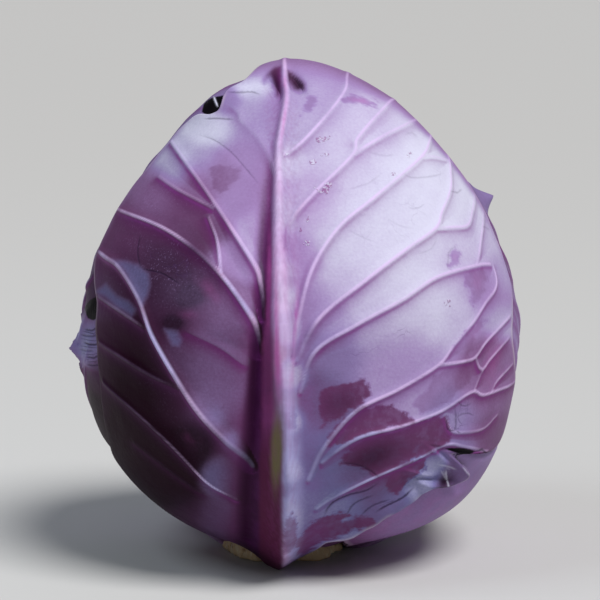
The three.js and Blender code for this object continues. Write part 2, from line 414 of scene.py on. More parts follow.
# %% [markdown]
# ## A blade
#
# The blade is a thin solid: an outer face with a fine grid, an inner face with a grid three times
# as coarse, because nobody sees it, and a narrow rim that joins them. A Solidify modifier would
# be quicker to write, but it would spend half of the faces on the hidden side. The attributes that
# are stored on each point tell the later steps where on the leaf the point is.

# %% Grid of a blade
COARSE = 3  # squares of the outer face along one side of a square of the inner face
THINS_FROM = 0.8  # share of the reach
DENSITY_STEPS = 2000


def crowded(count, spots):
    """count + 1 places from -1 to 1, closer together round each (place, width, strength)."""
    fine = np.linspace(-1, 1, DENSITY_STEPS + 1)
    density = np.ones_like(fine)
    for place, width, strength in spots:
        density += strength * np.exp(-(((fine - place) / width) ** 2))
    total = np.cumsum(density)
    total = (total - total[0]) / (total[-1] - total[0])
    return np.interp(np.linspace(0, 1, count + 1), total, fine)


def grid_faces(columns, rows, first, flipped):
    """The squares of a grid whose points are numbered row by row from first."""
    i, j = np.meshgrid(np.arange(columns), np.arange(rows))
    corner = first + j * (columns + 1) + i
    quads = np.stack([corner, corner + 1, corner + columns + 2, corner + columns + 1], axis=-1)
    quads = quads.reshape(-1, 4)
    return quads[:, ::-1] if flipped else quads


def rim_loop(columns, rows, first):
    """Numbers of the points round a grid's edge, anticlockwise."""
    width = columns + 1
    bottom = list(range(columns))
    right = [j * width + columns for j in range(rows)]
    top = [rows * width + i for i in range(columns, 0, -1)]
    left = [j * width for j in range(rows, 0, -1)]
    return [first + number for number in bottom + right + top + left]


def grid_directions(leaf, across, along):
    """Where the points of the grid lie on the leaf: small notches in its edge die out inwards."""
    x, y = np.meshgrid(across, along)
    x, y = x.ravel(), y.ravel()
    disc_x, disc_y = x * np.sqrt(1 - y * y / 2), y * np.sqrt(1 - x * x / 2)
    turn = np.arctan2(disc_y, disc_x)
    calm = reach_at(leaf, turn, "calm")
    reach = calm + (reach_at(leaf, turn) - calm) * np.hypot(disc_x, disc_y) ** 3
    return off_leaf_map(leaf, disc_x * reach, disc_y * reach)


def blade_mesh(leaf, outer_leaves, columns, rows, column_spots, row_spots, lift):
    """The bare blade as a mesh in metres. lift says how far each direction stands off the head."""
    across, along = crowded(columns, column_spots), crowded(rows, row_spots)
    outer = grid_directions(leaf, across, along)
    inner = grid_directions(leaf, across[::COARSE], along[::COARSE])
    directions = np.concatenate([outer, inner])
    share, map_across, map_along = on_leaf_map(leaf, directions)
    outside = np.zeros(len(directions))
    outside[: len(outer)] = 1
    depth = sum((cover(one, directions) for one in outer_leaves), np.zeros(len(directions)))
    thinner = (LEAF_THICKNESS - EDGE_THICKNESS) * smooth_step(THINS_FROM, 1, share)
    thickness = LEAF_THICKNESS - thinner
    depth += np.where(outside > 0, 0, thickness) - lift(directions, share)
    places = below_egg(directions, depth)
    faces = grid_faces(columns, rows, 0, False).tolist()
    low_columns, low_rows = columns // COARSE, rows // COARSE
    faces += grid_faces(low_columns, low_rows, len(outer), True).tolist()
    fine_rim = rim_loop(columns, rows, 0)
    coarse_rim = rim_loop(low_columns, low_rows, len(outer))
    for index, start in enumerate(coarse_rim):
        end = coarse_rim[(index + 1) % len(coarse_rim)]
        fine = [fine_rim[(index * COARSE + step) % len(fine_rim)] for step in range(COARSE + 1)]
        faces.append([start, end] + fine[::-1])
    mesh = bpy.data.meshes.new(leaf["name"] + " blade")
    mesh.from_pydata(places * MM, [], faces)
    write_numbers(mesh, "outside", outside)
    write_vectors(mesh, "way_out", way_out(places))
    write_numbers(mesh, "share", share)
    write_numbers(mesh, "across", map_across)
    write_numbers(mesh, "along", map_along)
    write_numbers(mesh, "bare", bareness(outer_leaves, directions))
    return mesh


def write_numbers(mesh, name, values):
    layer = mesh.attributes.get(name) or mesh.attributes.new(name, "FLOAT", "POINT")
    layer.data.foreach_set("value", np.asarray(values, np.float32))


def write_vectors(mesh, name, values):
    layer = mesh.attributes.new(name, "FLOAT_VECTOR", "POINT")
    layer.data.foreach_set("vector", np.asarray(values, np.float32).ravel())


def read_numbers(mesh, name):
    values = np.zeros(len(mesh.vertices), np.float32)
    mesh.attributes[name].data.foreach_get("value", values)
    return values


def read_places(mesh):
    places = np.zeros(len(mesh.vertices) * 3, np.float32)
    mesh.vertices.foreach_get("co", places)
    return places.reshape(-1, 3) / MM


# %% [markdown]
# ## Veins
#
# On the outside of a cabbage leaf the veins stand up as ribs. A vein plan is a mesh of bare edges
# that lies on the blade: each vein is a chain of points that know how wide and how high the vein
# is there. The veins of the front leaf are listed one by one, and those of the other leaves follow a
# rule, because all cabbage leaves branch alike.

# %% The vein plan
STEP_ALONG_VEIN = 1.2
SIDE_VEIN_POWER = 2.2
CURVE_CUTS = 12  # cuts between two points of a curve, before it is cut evenly
STEPS_CLOSER = 30
VEINS_END = 0.97  # share of the leaf's reach
REACHES_EDGE = 0.84  # share of the reach past which a front vein goes on to the edge


def smooth_line(points, step):
    """A smooth curve through the points, cut in even steps."""
    points = np.asarray(points, float)
    ends = np.concatenate([[2 * points[0] - points[1]], points, [2 * points[-1] - points[-2]]])
    shares = np.linspace(0, 1, CURVE_CUTS, endpoint=False)[:, None]
    pieces = [smooth_between(*ends[i : i + 4], shares) for i in range(len(points) - 1)]
    line = np.concatenate(pieces + [points[-1:]])
    far = np.concatenate([[0], np.cumsum(np.linalg.norm(np.diff(line, axis=0), axis=1))])
    even = np.linspace(0, far[-1], max(2, int(far[-1] / step)))
    return np.stack([np.interp(even, far, column) for column in line.T], axis=1)


def blade_finder(mesh):
    """A ray caster for the outer face of a blade."""
    places = read_places(mesh)
    outside = read_numbers(mesh, "outside") > 0
    faces = [p.vertices[:] for p in mesh.polygons if all(outside[v] for v in p.vertices)]
    return BVHTree.FromPolygons([Vector(p) for p in places], faces)


def onto_blade(finder, across, up):
    """Where the line of sight through a place in the view meets the blade."""
    aim = across * ACROSS + up * UP
    hit = finder.ray_cast(Vector(CAMERA_PLACE), Vector(aim - CAMERA_PLACE).normalized())[0]
    return None if hit is None else np.array(hit)


def direction_to(places):
    """The egg's own direction of places near its surface, found by stepping closer."""
    guess = unit(places - np.array([HEAD_LEAN, 0, HEAD_HEIGHT / 2]))
    for _ in range(STEPS_CLOSER):
        guess = unit(guess + (places - on_egg(guess)) / HEAD_WIDTH)
    return guess


def plan_mesh(name, veins):
    """veins: (points, half widths, rises, folds, powers, lights), with sizes in millimetres."""
    points, edges, numbers, sizes = [], [], [], []
    for number, (line, *columns) in enumerate(veins):
        first = len(points)
        points += list(line)
        edges += [(first + i, first + i + 1) for i in range(len(line) - 1)]
        numbers += [number] * len(line)
        sizes += list(zip(*columns))
    mesh = bpy.data.meshes.new(name)
    mesh.from_pydata(np.array(points) * MM, edges, [])
    layer = mesh.attributes.new("vein", "INT", "POINT")
    layer.data.foreach_set("value", numbers)
    scales = (("half_width", MM), ("rise", MM), ("fold", MM), ("power", 1), ("light", 1))
    for index, (size, scale) in enumerate(scales):
        write_numbers(mesh, size, [row[index] * scale for row in sizes])
    return linked(name, mesh)


# %% [markdown]
# ### Raising the veins with Geometry Nodes
#
# The tree takes a blade and a vein plan. Its repeat zone goes through the veins one by one. For
# each it measures how far every point of the blade is from the vein, turns the distance into a
# rounded ridge, and keeps the highest ridge so far. A vein whose rise is negative presses a
# groove instead. After the loop the blade is moved along its way out of the head. Painting the
# ridges by hand in Sculpt Mode would look as good, but the tree can be run again on every leaf.

# %% Inputs and small parts of the tree
GRAPH_INPUTS = (
    ("Vein plan", "NodeSocketObject", None),
    ("Vein count", "NodeSocketInt", 1),
    ("Fold width", "NodeSocketFloat", 9 * MM),
    ("Shadow side", "NodeSocketVector", (0.4 * MM, 0.0, 1.0 * MM)),
    ("Buckle", "NodeSocketFloat", 0.5 * MM),
    ("Buckle size", "NodeSocketFloat", 30 * MM),
    ("Buckle seed", "NodeSocketFloat", 0.0),
    ("Skin", "NodeSocketMaterial", None),
)


def start_tree():
    """The tree with its inputs and output, and the sockets that the inputs come in by."""
    tree = bpy.data.node_groups.new("Raise the veins", "GeometryNodeTree")
    face = tree.interface
    face.new_socket("Blade", in_out="INPUT", socket_type="NodeSocketGeometry")
    for name, kind, value in GRAPH_INPUTS:
        socket = face.new_socket(name, in_out="INPUT", socket_type=kind)
        if value is not None:
            socket.default_value = value
    face.new_socket("Leaf", in_out="OUTPUT", socket_type="NodeSocketGeometry")
    return tree, node(tree, "NodeGroupInput").outputs


def stored(tree, name, kind="FLOAT"):
    return node(tree, "GeometryNodeInputNamedAttribute", {"Name": name}, data_type=kind).outputs[0]


def store(tree, geometry, name, value):
    inputs = {"Geometry": geometry, "Name": name, "Value": value}
    kinds = dict(data_type="FLOAT", domain="POINT")
    return node(tree, "GeometryNodeStoreNamedAttribute", inputs, **kinds).outputs[0]


def vector_math(tree, operation, inputs):
    return node(tree, "ShaderNodeVectorMath", inputs, operation=operation).outputs[0]


def ridge_shape(tree, distance, width, power):
    """1 on the line, 1 / e at the width from it, and then down to 0."""
    away = calc(tree, "POWER", calc(tree, "DIVIDE", distance, width), power)
    return calc(tree, "EXPONENT", times(tree, away, -1.0))


# %% [markdown]
# ### Inside the repeat zone
#
# Besides the ridge, each vein leaves two numbers for the skin: how near it is to the point, and
# how near it is to a spot a little way towards the light. Where the second is larger, the point
# lies on the vein's shaded side. Both fall steadily from 1 on the vein to 0 far from it, so
# the nearest vein is the one with the largest number.

# %% What the tree does for one vein
FOLD_TOP = 1.6 * MM  # how round the top of a fold is
NEARNESS_FALL = 3.0  # half widths of the vein over which its nearness falls to 1 / e
TOO_FAR = 99.0  # half widths, for a groove, which casts no shadow and has no colour


def one_of_plan(tree, plan, number):
    """The edges of the plan that belong to the vein with this number."""
    inputs = {2: stored(tree, "vein", "INT"), 3: number}
    same = node(tree, "FunctionNodeCompare", inputs, data_type="INT", operation="EQUAL").outputs[0]
    inputs = {"Geometry": plan, "Selection": same}
    return node(tree, "GeometryNodeSeparateGeometry", inputs).outputs["Selection"]


def distance_to(tree, vein, inputs=None):
    inputs = {0: vein, **(inputs or {})}
    return node(tree, "GeometryNodeProximity", inputs, target_element="EDGES").outputs["Distance"]


def vein_marked(tree, given, geometry, vein):
    """The blade with the ridge, groove, fold and nearness of one more vein stored on it."""
    distance = distance_to(tree, vein)
    point = node(tree, "GeometryNodeSampleNearest", {"Geometry": vein}, domain="POINT").outputs[0]

    def at_vein(name):
        inputs = {"Geometry": vein, "Value": stored(tree, name), "Index": point}
        return node(tree, "GeometryNodeSampleIndex", inputs, data_type="FLOAT").outputs[0]

    half_width, rise = at_vein("half_width"), at_vein("rise")
    ridge = times(tree, rise, ridge_shape(tree, distance, half_width, at_vein("power")))
    round_top = calc(tree, "SQRT", plus(tree, calc(tree, "POWER", distance, 2.0), FOLD_TOP**2))
    down_slope = calc(tree, "MAXIMUM", calc(tree, "SUBTRACT", round_top, FOLD_TOP), 0.0)
    tent = times(tree, at_vein("fold"), ridge_shape(tree, down_slope, given["Fold width"], 1.0))

    pressed = times(tree, calc(tree, "LESS_THAN", rise, 0.0), TOO_FAR)
    place = node(tree, "GeometryNodeInputPosition").outputs[0]
    above = vector_math(tree, "ADD", {0: place, 1: given["Shadow side"]})
    shade_distance = distance_to(tree, vein, {"Sample Position": above})
    nearness, shade_nearness = (
        ridge_shape(tree, plus(tree, calc(tree, "DIVIDE", far, half_width), pressed), NEARNESS_FALL, 1.0)
        for far in (distance, shade_distance)
    )
    # A point takes the light of the vein that is nearest so far.
    closer = calc(tree, "GREATER_THAN", nearness, stored(tree, "vein_nearness"))
    light = node(tree, "ShaderNodeMix", {0: closer, 2: stored(tree, "light"), 3: at_vein("light")})
    geometry = store(tree, geometry, "light", light.outputs[0])
    kept = (
        ("vein_nearness", "MAXIMUM", nearness),
        ("shade_nearness", "MAXIMUM", shade_nearness),
        ("ridge", "MAXIMUM", ridge),
        ("groove", "MINIMUM", ridge),
        ("fold", "MAXIMUM", tent),
    )
    for name, operation, value in kept:
        geometry = store(tree, geometry, name, calc(tree, operation, stored(tree, name), value))
    return geometry


# %% [markdown]
# ### The whole tree
#
# After the loop the heights are added up. A slow noise buckles the blade between its veins, as
# a leaf that grew under pressure does. The ridges count on the outer face only, and nothing is
# raised where an outer leaf lies on the blade. Two rounds of blur take the steps out of it.

# %% The tree that raises the veins


def buckled(tree, given):
    """Slow noise, as a height above or below the blade."""
    place = node(tree, "GeometryNodeInputPosition").outputs[0]
    spread = calc(tree, "DIVIDE", 1.0, given["Buckle size"])
    place = vector_math(tree, "SCALE", {0: place, "Scale": spread})
    inputs = {"Vector": place, "W": given["Buckle seed"], "Scale": 1.0, "Detail": 2.0}
    noise = node(tree, "ShaderNodeTexNoise", inputs, noise_dimensions="4D").outputs[0]
    return times(tree, calc(tree, "SUBTRACT", noise, 0.5), given["Buckle"])


def raise_veins_tree():
    tree, given = start_tree()
    plan = node(tree, "GeometryNodeObjectInfo", {"Object": given["Vein plan"]}).outputs["Geometry"]
    begin = node(tree, "GeometryNodeRepeatInput", {"Iterations": given["Vein count"]})
    end = node(tree, "GeometryNodeRepeatOutput")
    begin.pair_with_output(end)
    tree.links.new(given["Blade"], begin.inputs["Geometry"])
    vein = one_of_plan(tree, plan, begin.outputs["Iteration"])
    marked = vein_marked(tree, given, begin.outputs["Geometry"], vein)
    tree.links.new(marked, end.inputs["Geometry"])

    ribs = times(tree, stored(tree, "ridge"), stored(tree, "outside"))
    height = plus(tree, stored(tree, "fold"), stored(tree, "groove"), buckled(tree, given), ribs)
    height = times(tree, height, stored(tree, "bare"))
    inputs = {0: height, "Iterations": 2}
    blurred = node(tree, "GeometryNodeBlurAttribute", inputs, data_type="FLOAT").outputs[0]
    out = stored(tree, "way_out", "FLOAT_VECTOR")
    offset = vector_math(tree, "SCALE", {0: out, "Scale": blurred})
    inputs = {"Geometry": end.outputs["Geometry"], "Offset": offset}
    moved = node(tree, "GeometryNodeSetPosition", inputs).outputs[0]
    real = node(tree, "GeometryNodeRealizeInstances", {"Geometry": moved}).outputs[0]
    inputs = {"Geometry": real, "Material": given["Skin"]}
    skinned = node(tree, "GeometryNodeSetMaterial", inputs).outputs[0]
    tree.links.new(skinned, node(tree, "NodeGroupOutput").inputs[0])
    return tree


RAISE_VEINS = raise_veins_tree()
print("The tree has", len(RAISE_VEINS.nodes), "nodes")


def veined(name, blade, plan, settings):
    """Runs the tree on a blade, and returns the result as a plain mesh."""
    holder = linked(name, blade)
    modifier = holder.modifiers.new("veins", "NODES")
    modifier.node_group = RAISE_VEINS
    sockets = {item.name: item.identifier for item in RAISE_VEINS.interface.items_tree}
    modifier[sockets["Vein plan"]] = plan
    for label, value in settings.items():
        modifier[sockets[label]] = value
    evaluated = holder.evaluated_get(bpy.context.evaluated_depsgraph_get())
    mesh = bpy.data.meshes.new_from_object(evaluated)
    bpy.data.objects.remove(holder)
    bpy.data.objects.remove(plan)
    return mesh


# %% [markdown]
# ## The front leaf's veins
#
# Each row is one vein: points in millimetres across and up, as seen from the front, then half the
# width and the rise where it starts, and the height of the soft fold that it sits on. The last
# entry on the left is how pale the crest is: 0 dark, 1 pink and 2 pale blue, or a list of that at
# millimetres along the vein. That paleness is partly painted light: crests that lie in shade are
# made darker, and crests that catch the light paler. A vein thins towards its end, and goes
# straight on to the edge if it ends near it.

# %% Points of the front veins
MIDRIB = [(1, -2), (1.4, 18), (1.2, 40), (0.3, 60), (-0.6, 80), (-1.1, 98), (-1.9, 112), (-1.8, 126),
          (-1.7, 139), (-0.3, 149), (1.1, 157), (1.0, 164), (0.4, 171)]
# Sizes at heights: half width, rise, and the power of its shape: 1.2 is a roof, 2 a round cord.
MIDRIB_HALF_WIDTHS = [(-2, 7), (17, 6.4), (35, 5.8), (70, 4.5), (90, 3.5), (115, 2.6), (136, 1.9),
                      (145, 1.6), (156, 1.6), (172, 1.2)]
MIDRIB_RISES = [(-2, 6.8), (17, 6.6), (35, 5.8), (70, 4.4), (105, 3.4), (140, 2.0), (156, 1.4), (172, 0.5)]
MIDRIB_POWERS = [(-2, 1.3), (40, 1.4), (65, 1.9), (90, 2.4), (120, 2.4), (172, 2)]

LEFT_VEINS = [
    ([(-2.8, 131), (-5.3, 138.6), (-9.5, 145.3), (-14.7, 150.5), (-15.2, 153), (-17.5, 155)],
     0.9, 0.5, 0.5, 0.5),
    ([(-7.8, 81), (-7.9, 87), (-8.5, 93), (-9.7, 98.4), (-14.7, 107), (-26.6, 125), (-38.2, 141.4)],
     1.2, 1.1, 2.8, [(2, 0.1), (12, 0.9), (23, 1.5), (38, 0.8), (69, 1.0)]),
    ([(-24.9, 119.7), (-36.8, 126), (-43.5, 130.6)], 0.9, 0.7, 1.6, 0.8),
    ([(-9.2, 68), (-9.8, 75), (-12, 82), (-20, 93.8), (-29.4, 103.6), (-42, 112.4), (-56.4, 118.3)],
     1.3, 1.2, 3.0,
     [(2, 0.1), (8, 0.6), (16, 1.9), (28, 1.6), (35, 0.5), (44, 0.25), (51, 1.0), (64, 1.4), (73, 1.2)]),
    ([(-21.3, 97), (-22.8, 107.8), (-25.6, 116)], 0.9, 0.8, 0.8, [(0, 1.5), (12, 1.3), (20, 0.8)]),
    ([(-12.6, 27), (-17.5, 34.3), (-29.4, 47), (-38.2, 60.2), (-46.2, 74.6), (-50.8, 87.2),
      (-57.4, 98.4), (-62.3, 102.2)], 1.5, 1.8, 4.4,
     [(5, 0.2), (20, 0.9), (35, 1.3), (45, 1.8), (60, 1.9), (70, 1.0), (80, 0.8), (90, 1.5)]),
    ([(-14, 65), (-22, 71), (-32.5, 76.3)], 0.9, 0.3, 0.3, [(0, 0.5), (20, 0.3)]),
    ([(-49.4, 77.7), (-56.4, 82.6), (-64, 88)], 0.9, 0.8, 1.6, 0.5),
    ([(-36.8, 56.4), (-46.9, 60.9), (-61.6, 70.4)], 1.0, 0.9, 1.6, 0.3),
    ([(-17.5, 16), (-26.6, 22.8), (-38.9, 35.7), (-52.2, 48.3), (-59.5, 55)], 1.0, 0.9, 2.2,
     [(2, 1.0), (6, 1.8), (13, 1.6), (18, 0.7), (40, 0.4), (60, 0.1)]),
    ([(-29, 20), (-38.9, 27), (-52.2, 37.5)], 0.9, 0.5, 0.7, 0.05),
]
RIGHT_VEINS = [
    ([(0.8, 138.5), (6.7, 142.8), (15.8, 152.6), (21.7, 160.7), (22.4, 165)], 0.9, 0.7, 0.5),
    ([(1.2, 106), (3.2, 115.5), (11.2, 125), (24.5, 138.3), (26.3, 144.2), (37.1, 156.5)], 1.0, 0.9, 1.0),
    ([(24.5, 138.3), (33.6, 143.9), (46.2, 150.2)], 0.8, 0.7, 0.6),
    ([(3.4, 68), (5, 78), (9.8, 97), (19.3, 112.4), (32.9, 123.9), (48.3, 137.2), (51.5, 143.2)],
     1.1, 1.0, 1.4),
    ([(48.3, 137.2), (52, 137.4), (56, 136.5)], 0.6, 0.5, 0.2),
    ([(5, 66), (12.6, 80.5), (28.7, 93.8), (43.4, 105), (53.6, 112.4), (55.7, 118), (58.8, 126),
      (58.8, 133)], 1.1, 1.0, 1.3),
    ([(53.6, 112.4), (59.5, 112.7), (64.8, 113.5), (66.5, 119)], 0.7, 0.6, 0.3),
    ([(6, 55), (11.2, 69), (25.9, 78.4), (42, 87.2), (54.3, 95.2), (68.3, 99.4), (72.8, 99.8)],
     1.1, 1.0, 1.6),
    ([(67.6, 99.4), (68.6, 103), (69.7, 111.7)], 0.6, 0.6, 0.2),
    ([(74.5, 100), (74.8, 92), (71, 86), (66.5, 79), (59, 70.5)], 0.8, 0.7, 0.8),
    ([(9, 24), (14.7, 35.7), (25.9, 48.3), (40.6, 55.7), (54.3, 64.1), (59.5, 70.5)], 1.2, 1.2, 2.0),
    ([(55, 64.3), (64.1, 65.8), (67.6, 67.2), (71.4, 72.5), (79, 81)], 0.8, 0.8, 0.7),
    ([(67.6, 67.2), (69.7, 62.7), (72.8, 66.5), (78.4, 73.2)], 0.7, 0.7, 0.4),
    ([(70, 62.5), (66.5, 56)], 0.6, 0.5, 0.2), ([(73, 55), (75, 59), (78.5, 63)], 0.6, 0.6, 0.3),
    ([(14, 30), (25.9, 38.5), (42, 43.1), (55.7, 48.3), (66.2, 55), (70.4, 53.9), (78.4, 56.8)],
     1.1, 1.0, 1.8),
    ([(57, 47), (59, 42), (62, 40.8), (70, 42), (75, 47)], 0.7, 0.6, 0.6),
    ([(12, 14), (22, 20), (33.3, 25.5), (46.2, 31), (57.5, 36.5), (63, 36), (70, 34.5)], 1.0, 0.8, 1.0),
]
RIGHT_LIGHT = [(0, 0.1), (8, 0.5), (20, 1.3)]  # of the right veins that start thick; the others are 1.3
STARTS_THICK = 1.0  # half width
# Points, half width, depth and power. They press the leaf in and have no colour of their own.
GROOVES = [
    ([(-12, 4), (-12, 20), (-11.3, 45), (-9.6, 70), (-7.6, 95), (-5.6, 115), (-4.2, 132)], 2.6, 2.6, 1.6),
    ([(-6.5, 165.5), (-4, 163), (-2.4, 160), (-1.8, 157.5)], 1.8, 4.6, 1.4),
    ([(2.4, 167), (4.4, 163), (7, 160.4)], 1.9, 4.6, 1.4),
    ([(-12, 160), (-18, 160.6), (-24, 159.5)], 0.8, 0.9, 1.4),
    ([(-7, 127), (-15, 136), (-22, 142), (-28, 144.5)], 0.6, 0.35, 1.4),
]
print(len(LEFT_VEINS) + len(RIGHT_VEINS), "side veins on the front leaf")

# %% [markdown]
# ### From points to lines on the blade
#
# Each point is thrown along the line of sight onto the bare blade. A raised vein would then show
# a little higher up than it was drawn, because its crest stands out of the leaf, so the point is
# shifted until the crest shows in the right place. Then the sizes are tapered along the line.

# %% The front leaf's plan
MOST_STEPS_ON = 120  # degrees that a vein may still go on
LEAST_HALF_WIDTH = 0.95  # thinner ridges would fall between the points of the blade
WIDTH_LOST, RISE_LOST, FOLD_LOST = 0.35, 0.5, 0.8  # shares lost by the end of a side vein
CREST_TRIES = 3
RIB_FOLD = 0.12  # the fold under the midrib, as a share of its rise
GROOVE_EASE = 0.35  # radians of a sine left out at each end of a groove


def to_the_edge(leaf, line, until):
    """Goes on from the end of a line on the blade, on the leaf's map, to a share of its reach."""
    ends = direction_to(line[[-4, -1]])
    _, across, along = on_leaf_map(leaf, ends)
    step = np.array([across[1] - across[0], along[1] - along[0]])
    step /= np.linalg.norm(step)
    place, added = np.array([across[1], along[1]]), []
    for _ in range(MOST_STEPS_ON):
        place = place + step
        direction = off_leaf_map(leaf, place[:1], place[1:])
        if on_leaf_map(leaf, direction)[0][0] > until:
            break
        added.append(on_egg(direction)[0])
    return np.concatenate([line, added]) if added else line


def side_vein(line, width, rise, fold, light=1.0):
    """A side vein with its sizes tapered: its fold dies out sooner than its width."""
    to_end = np.linspace(0, 1, len(line))
    from_start = np.arange(len(line)) * STEP_ALONG_VEIN
    start = smooth_step(-3, 14 if width >= STARTS_THICK else 6, from_start)
    light = np.interp(from_start, *zip(*light)) if isinstance(light, list) else light + 0 * to_end
    widths = np.maximum(width * (1 - WIDTH_LOST * to_end), LEAST_HALF_WIDTH)
    rises = rise * (1 - RISE_LOST * to_end) * start
    folds = fold * (1 - FOLD_LOST * to_end) * start
    return line, widths, rises, folds, np.full(len(line), SIDE_VEIN_POWER), light


def front_veins(leaf, blade):
    """The midrib, the side veins and the grooves, as plan_mesh wants them."""
    finder = blade_finder(blade)

    def laid(points, height_at):
        """The line on the blade that shows at the points once it is raised by its height."""
        placed = []
        line = smooth_line(points, STEP_ALONG_VEIN)
        for index, target in enumerate(line):
            height = height_at(index / (len(line) - 1), target[1])
            aim = target
            for _ in range(CREST_TRIES):
                hit = onto_blade(finder, *aim)
                if hit is None:
                    break
                crest = hit + height * way_out(hit[None])[0]
                aim = aim + target - seen_from_front(crest[None])[0]
            if hit is not None:
                placed.append(hit)
        return np.array(placed)

    line = laid(MIDRIB, lambda share, up: (1 + RIB_FOLD) * np.interp(up, *zip(*MIDRIB_RISES)))
    line = to_the_edge(leaf, to_the_edge(leaf, line, VEINS_END)[::-1], 1.0)[::-1]
    heights = np.maximum.accumulate(seen_from_front(line)[:, 1])
    widths = np.interp(heights, *zip(*MIDRIB_HALF_WIDTHS))
    rises = np.interp(heights, *zip(*MIDRIB_RISES))
    powers = np.interp(heights, *zip(*MIDRIB_POWERS))
    veins = [(line, widths, rises, RIB_FOLD * rises, powers, np.ones(len(line)))]

    def side_height(share, up):
        return rise * (1 - RISE_LOST * share) + fold * (1 - FOLD_LOST * share)

    right = [(*row, RIGHT_LIGHT if row[1] >= STARTS_THICK else RIGHT_LIGHT[-1][1]) for row in RIGHT_VEINS]
    for points, width, rise, fold, light in LEFT_VEINS + right:
        line = laid(points, side_height)
        if on_leaf_map(leaf, direction_to(line[-1:]))[0][0] > REACHES_EDGE:
            line = to_the_edge(leaf, line, VEINS_END)
        veins.append(side_vein(line, width, rise, fold, light))
    for points, width, depth, power in GROOVES:
        line = laid(points, lambda share, up: 0.0)
        ease = np.sin(np.linspace(GROOVE_EASE, math.pi - GROOVE_EASE, len(line)))
        veins.append((line, width + 0 * ease, -depth * ease, 0 * ease, power + 0 * ease, 0 * ease))
    return veins


# %% [markdown]
# ## Skin
#
# A red cabbage leaf is dark purple flesh under a bloom, a coat of fine wax that scatters light.
# Thin bloom looks lilac or blue, thick bloom nearly white. Where something rubbed against the
# leaf the bloom is gone, and the flesh shows dark and shinier. Veins are pink to lilac.
#
# The material mixes those layers by attributes that are painted on each leaf. `bloom` says how
# thick the wax is, `blue` how cool it looks, `shade` how dark the flesh is. That darkness is partly
# the flesh's own darker colour and partly painted shade, on the side away from the light and in
# hollows. `rub` is the number of millimetres inside a rubbed patch, so that noise can make its
# border ragged. An image could hold the same, but it would need an unwrapped leaf, and noise stays
# sharp however near you look.

# %% Colours of the skin


def srgb(red, green, blue):
    return tuple((value / 255) ** 2.2 for value in (red, green, blue)) + (1,)


PLUM_FLESH = srgb(104, 60, 100)
DARK_FLESH_AND_SHADE = srgb(36, 9, 28)
LILAC_BLOOM = srgb(166, 136, 190)
BLUE_BLOOM = srgb(116, 114, 164)
PALE_BLOOM = srgb(212, 211, 234)
VEIN_PINK = srgb(232, 194, 242)
VEIN_DEEP = srgb(72, 34, 96)
VEIN_BLUE = srgb(196, 192, 244)
VEIN_SHADOW = srgb(122, 50, 128)
VEIN_FOOT_SHADOW = srgb(128, 58, 132)
DRY_RIM = srgb(196, 180, 198)
OLIVE = srgb(108, 98, 74)
RIB_MAROON = srgb(84, 34, 64)
CRIMSON = srgb(132, 62, 122)
CREASE_SHADE_AND_LINE = srgb(48, 32, 60)
GAP_SHADOW = srgb(14, 8, 16)
MAGENTA = srgb(200, 92, 176)
NET_LINE = srgb(84, 56, 108)

# %% Small parts of the materials


def mixed(tree, factor, first, second):
    made = node(tree, "ShaderNodeMix", {0: factor, 6: first, 7: second}, data_type="RGBA")
    return made.outputs[2]


def eased(tree, value, low, high, start=0.0, end=1.0):
    inputs = {0: value, 1: low, 2: high, 3: start, 4: end}
    return node(tree, "ShaderNodeMapRange", inputs, interpolation_type="SMOOTHSTEP").outputs[0]


def attribute(tree, name):
    return node(tree, "ShaderNodeAttribute", attribute_name=name).outputs["Fac"]


def grain(tree, place, scale, detail=3.0, stretch=(1, 1, 1)):
    """Noise whose blobs are 1 / scale metres across."""
    squeezed = node(tree, "ShaderNodeMapping", {"Vector": place, "Scale": stretch}).outputs[0]
    inputs = {"Vector": squeezed, "Scale": scale, "Detail": detail, "Roughness": 0.55}
    return node(tree, "ShaderNodeTexNoise", inputs).outputs[0]


def around(tree, value, size):
    """Noise from 0 to 1, changed to plus and minus half of a size."""
    return times(tree, calc(tree, "SUBTRACT", value, 0.5), size)


def cell_walls(tree, place, scale):
    """The distance to the nearest wall between cells."""
    inputs = {"Vector": place, "Scale": scale}
    return node(tree, "ShaderNodeTexVoronoi", inputs, feature="DISTANCE_TO_EDGE").outputs[0]


def bumped(tree, shader, height, strength, distance):
    inputs = {"Strength": strength, "Distance": distance, "Height": height}
    tree.links.new(node(tree, "ShaderNodeBump", inputs).outputs[0], shader.inputs["Normal"])


def bare_material(name):
    """A new material: its tree, its shader and the place on the object."""
    material = bpy.data.materials.new(name)
    material.use_nodes = True
    tree = material.node_tree
    place = node(tree, "ShaderNodeTexCoord").outputs["Object"]
    return material, tree, tree.nodes["Principled BSDF"], place


# %% [markdown]
# ### Wax
#
# The wax is `bloom` with soft clouds in it. Rubbed patches lose it, with streaks in the border.
# On the shaded side of each vein the wax is thinned too, as painted shade. More and more wax turns
# the flesh first lilac or blue, then pale.

# %% Flesh under wax


def half_widths_away(tree, name):
    """How far a vein is, in its half widths, from the nearness that was stored."""
    return times(tree, calc(tree, "LOGARITHM", attribute(tree, name), math.e), -NEARNESS_FALL)


def rubbed_bare(tree, place, middling, fine):
    """1 where the bloom was rubbed off, down to the flesh."""
    streaks = grain(tree, place, 520, stretch=(0.3, 1, 1))
    parts = ((middling, 4.0), (streaks, 3.4), (fine, 1.6))
    ragged = plus(tree, *(around(tree, noise, size) for noise, size in parts))
    rub = plus(tree, attribute(tree, "rub"), ragged)
    bare = eased(tree, grain(tree, place, 340, detail=4), 0.34, 0.62, 0.78, 1.0)
    return times(tree, eased(tree, rub, -0.9, 0.9), times(tree, bare, attribute(tree, "wear")))


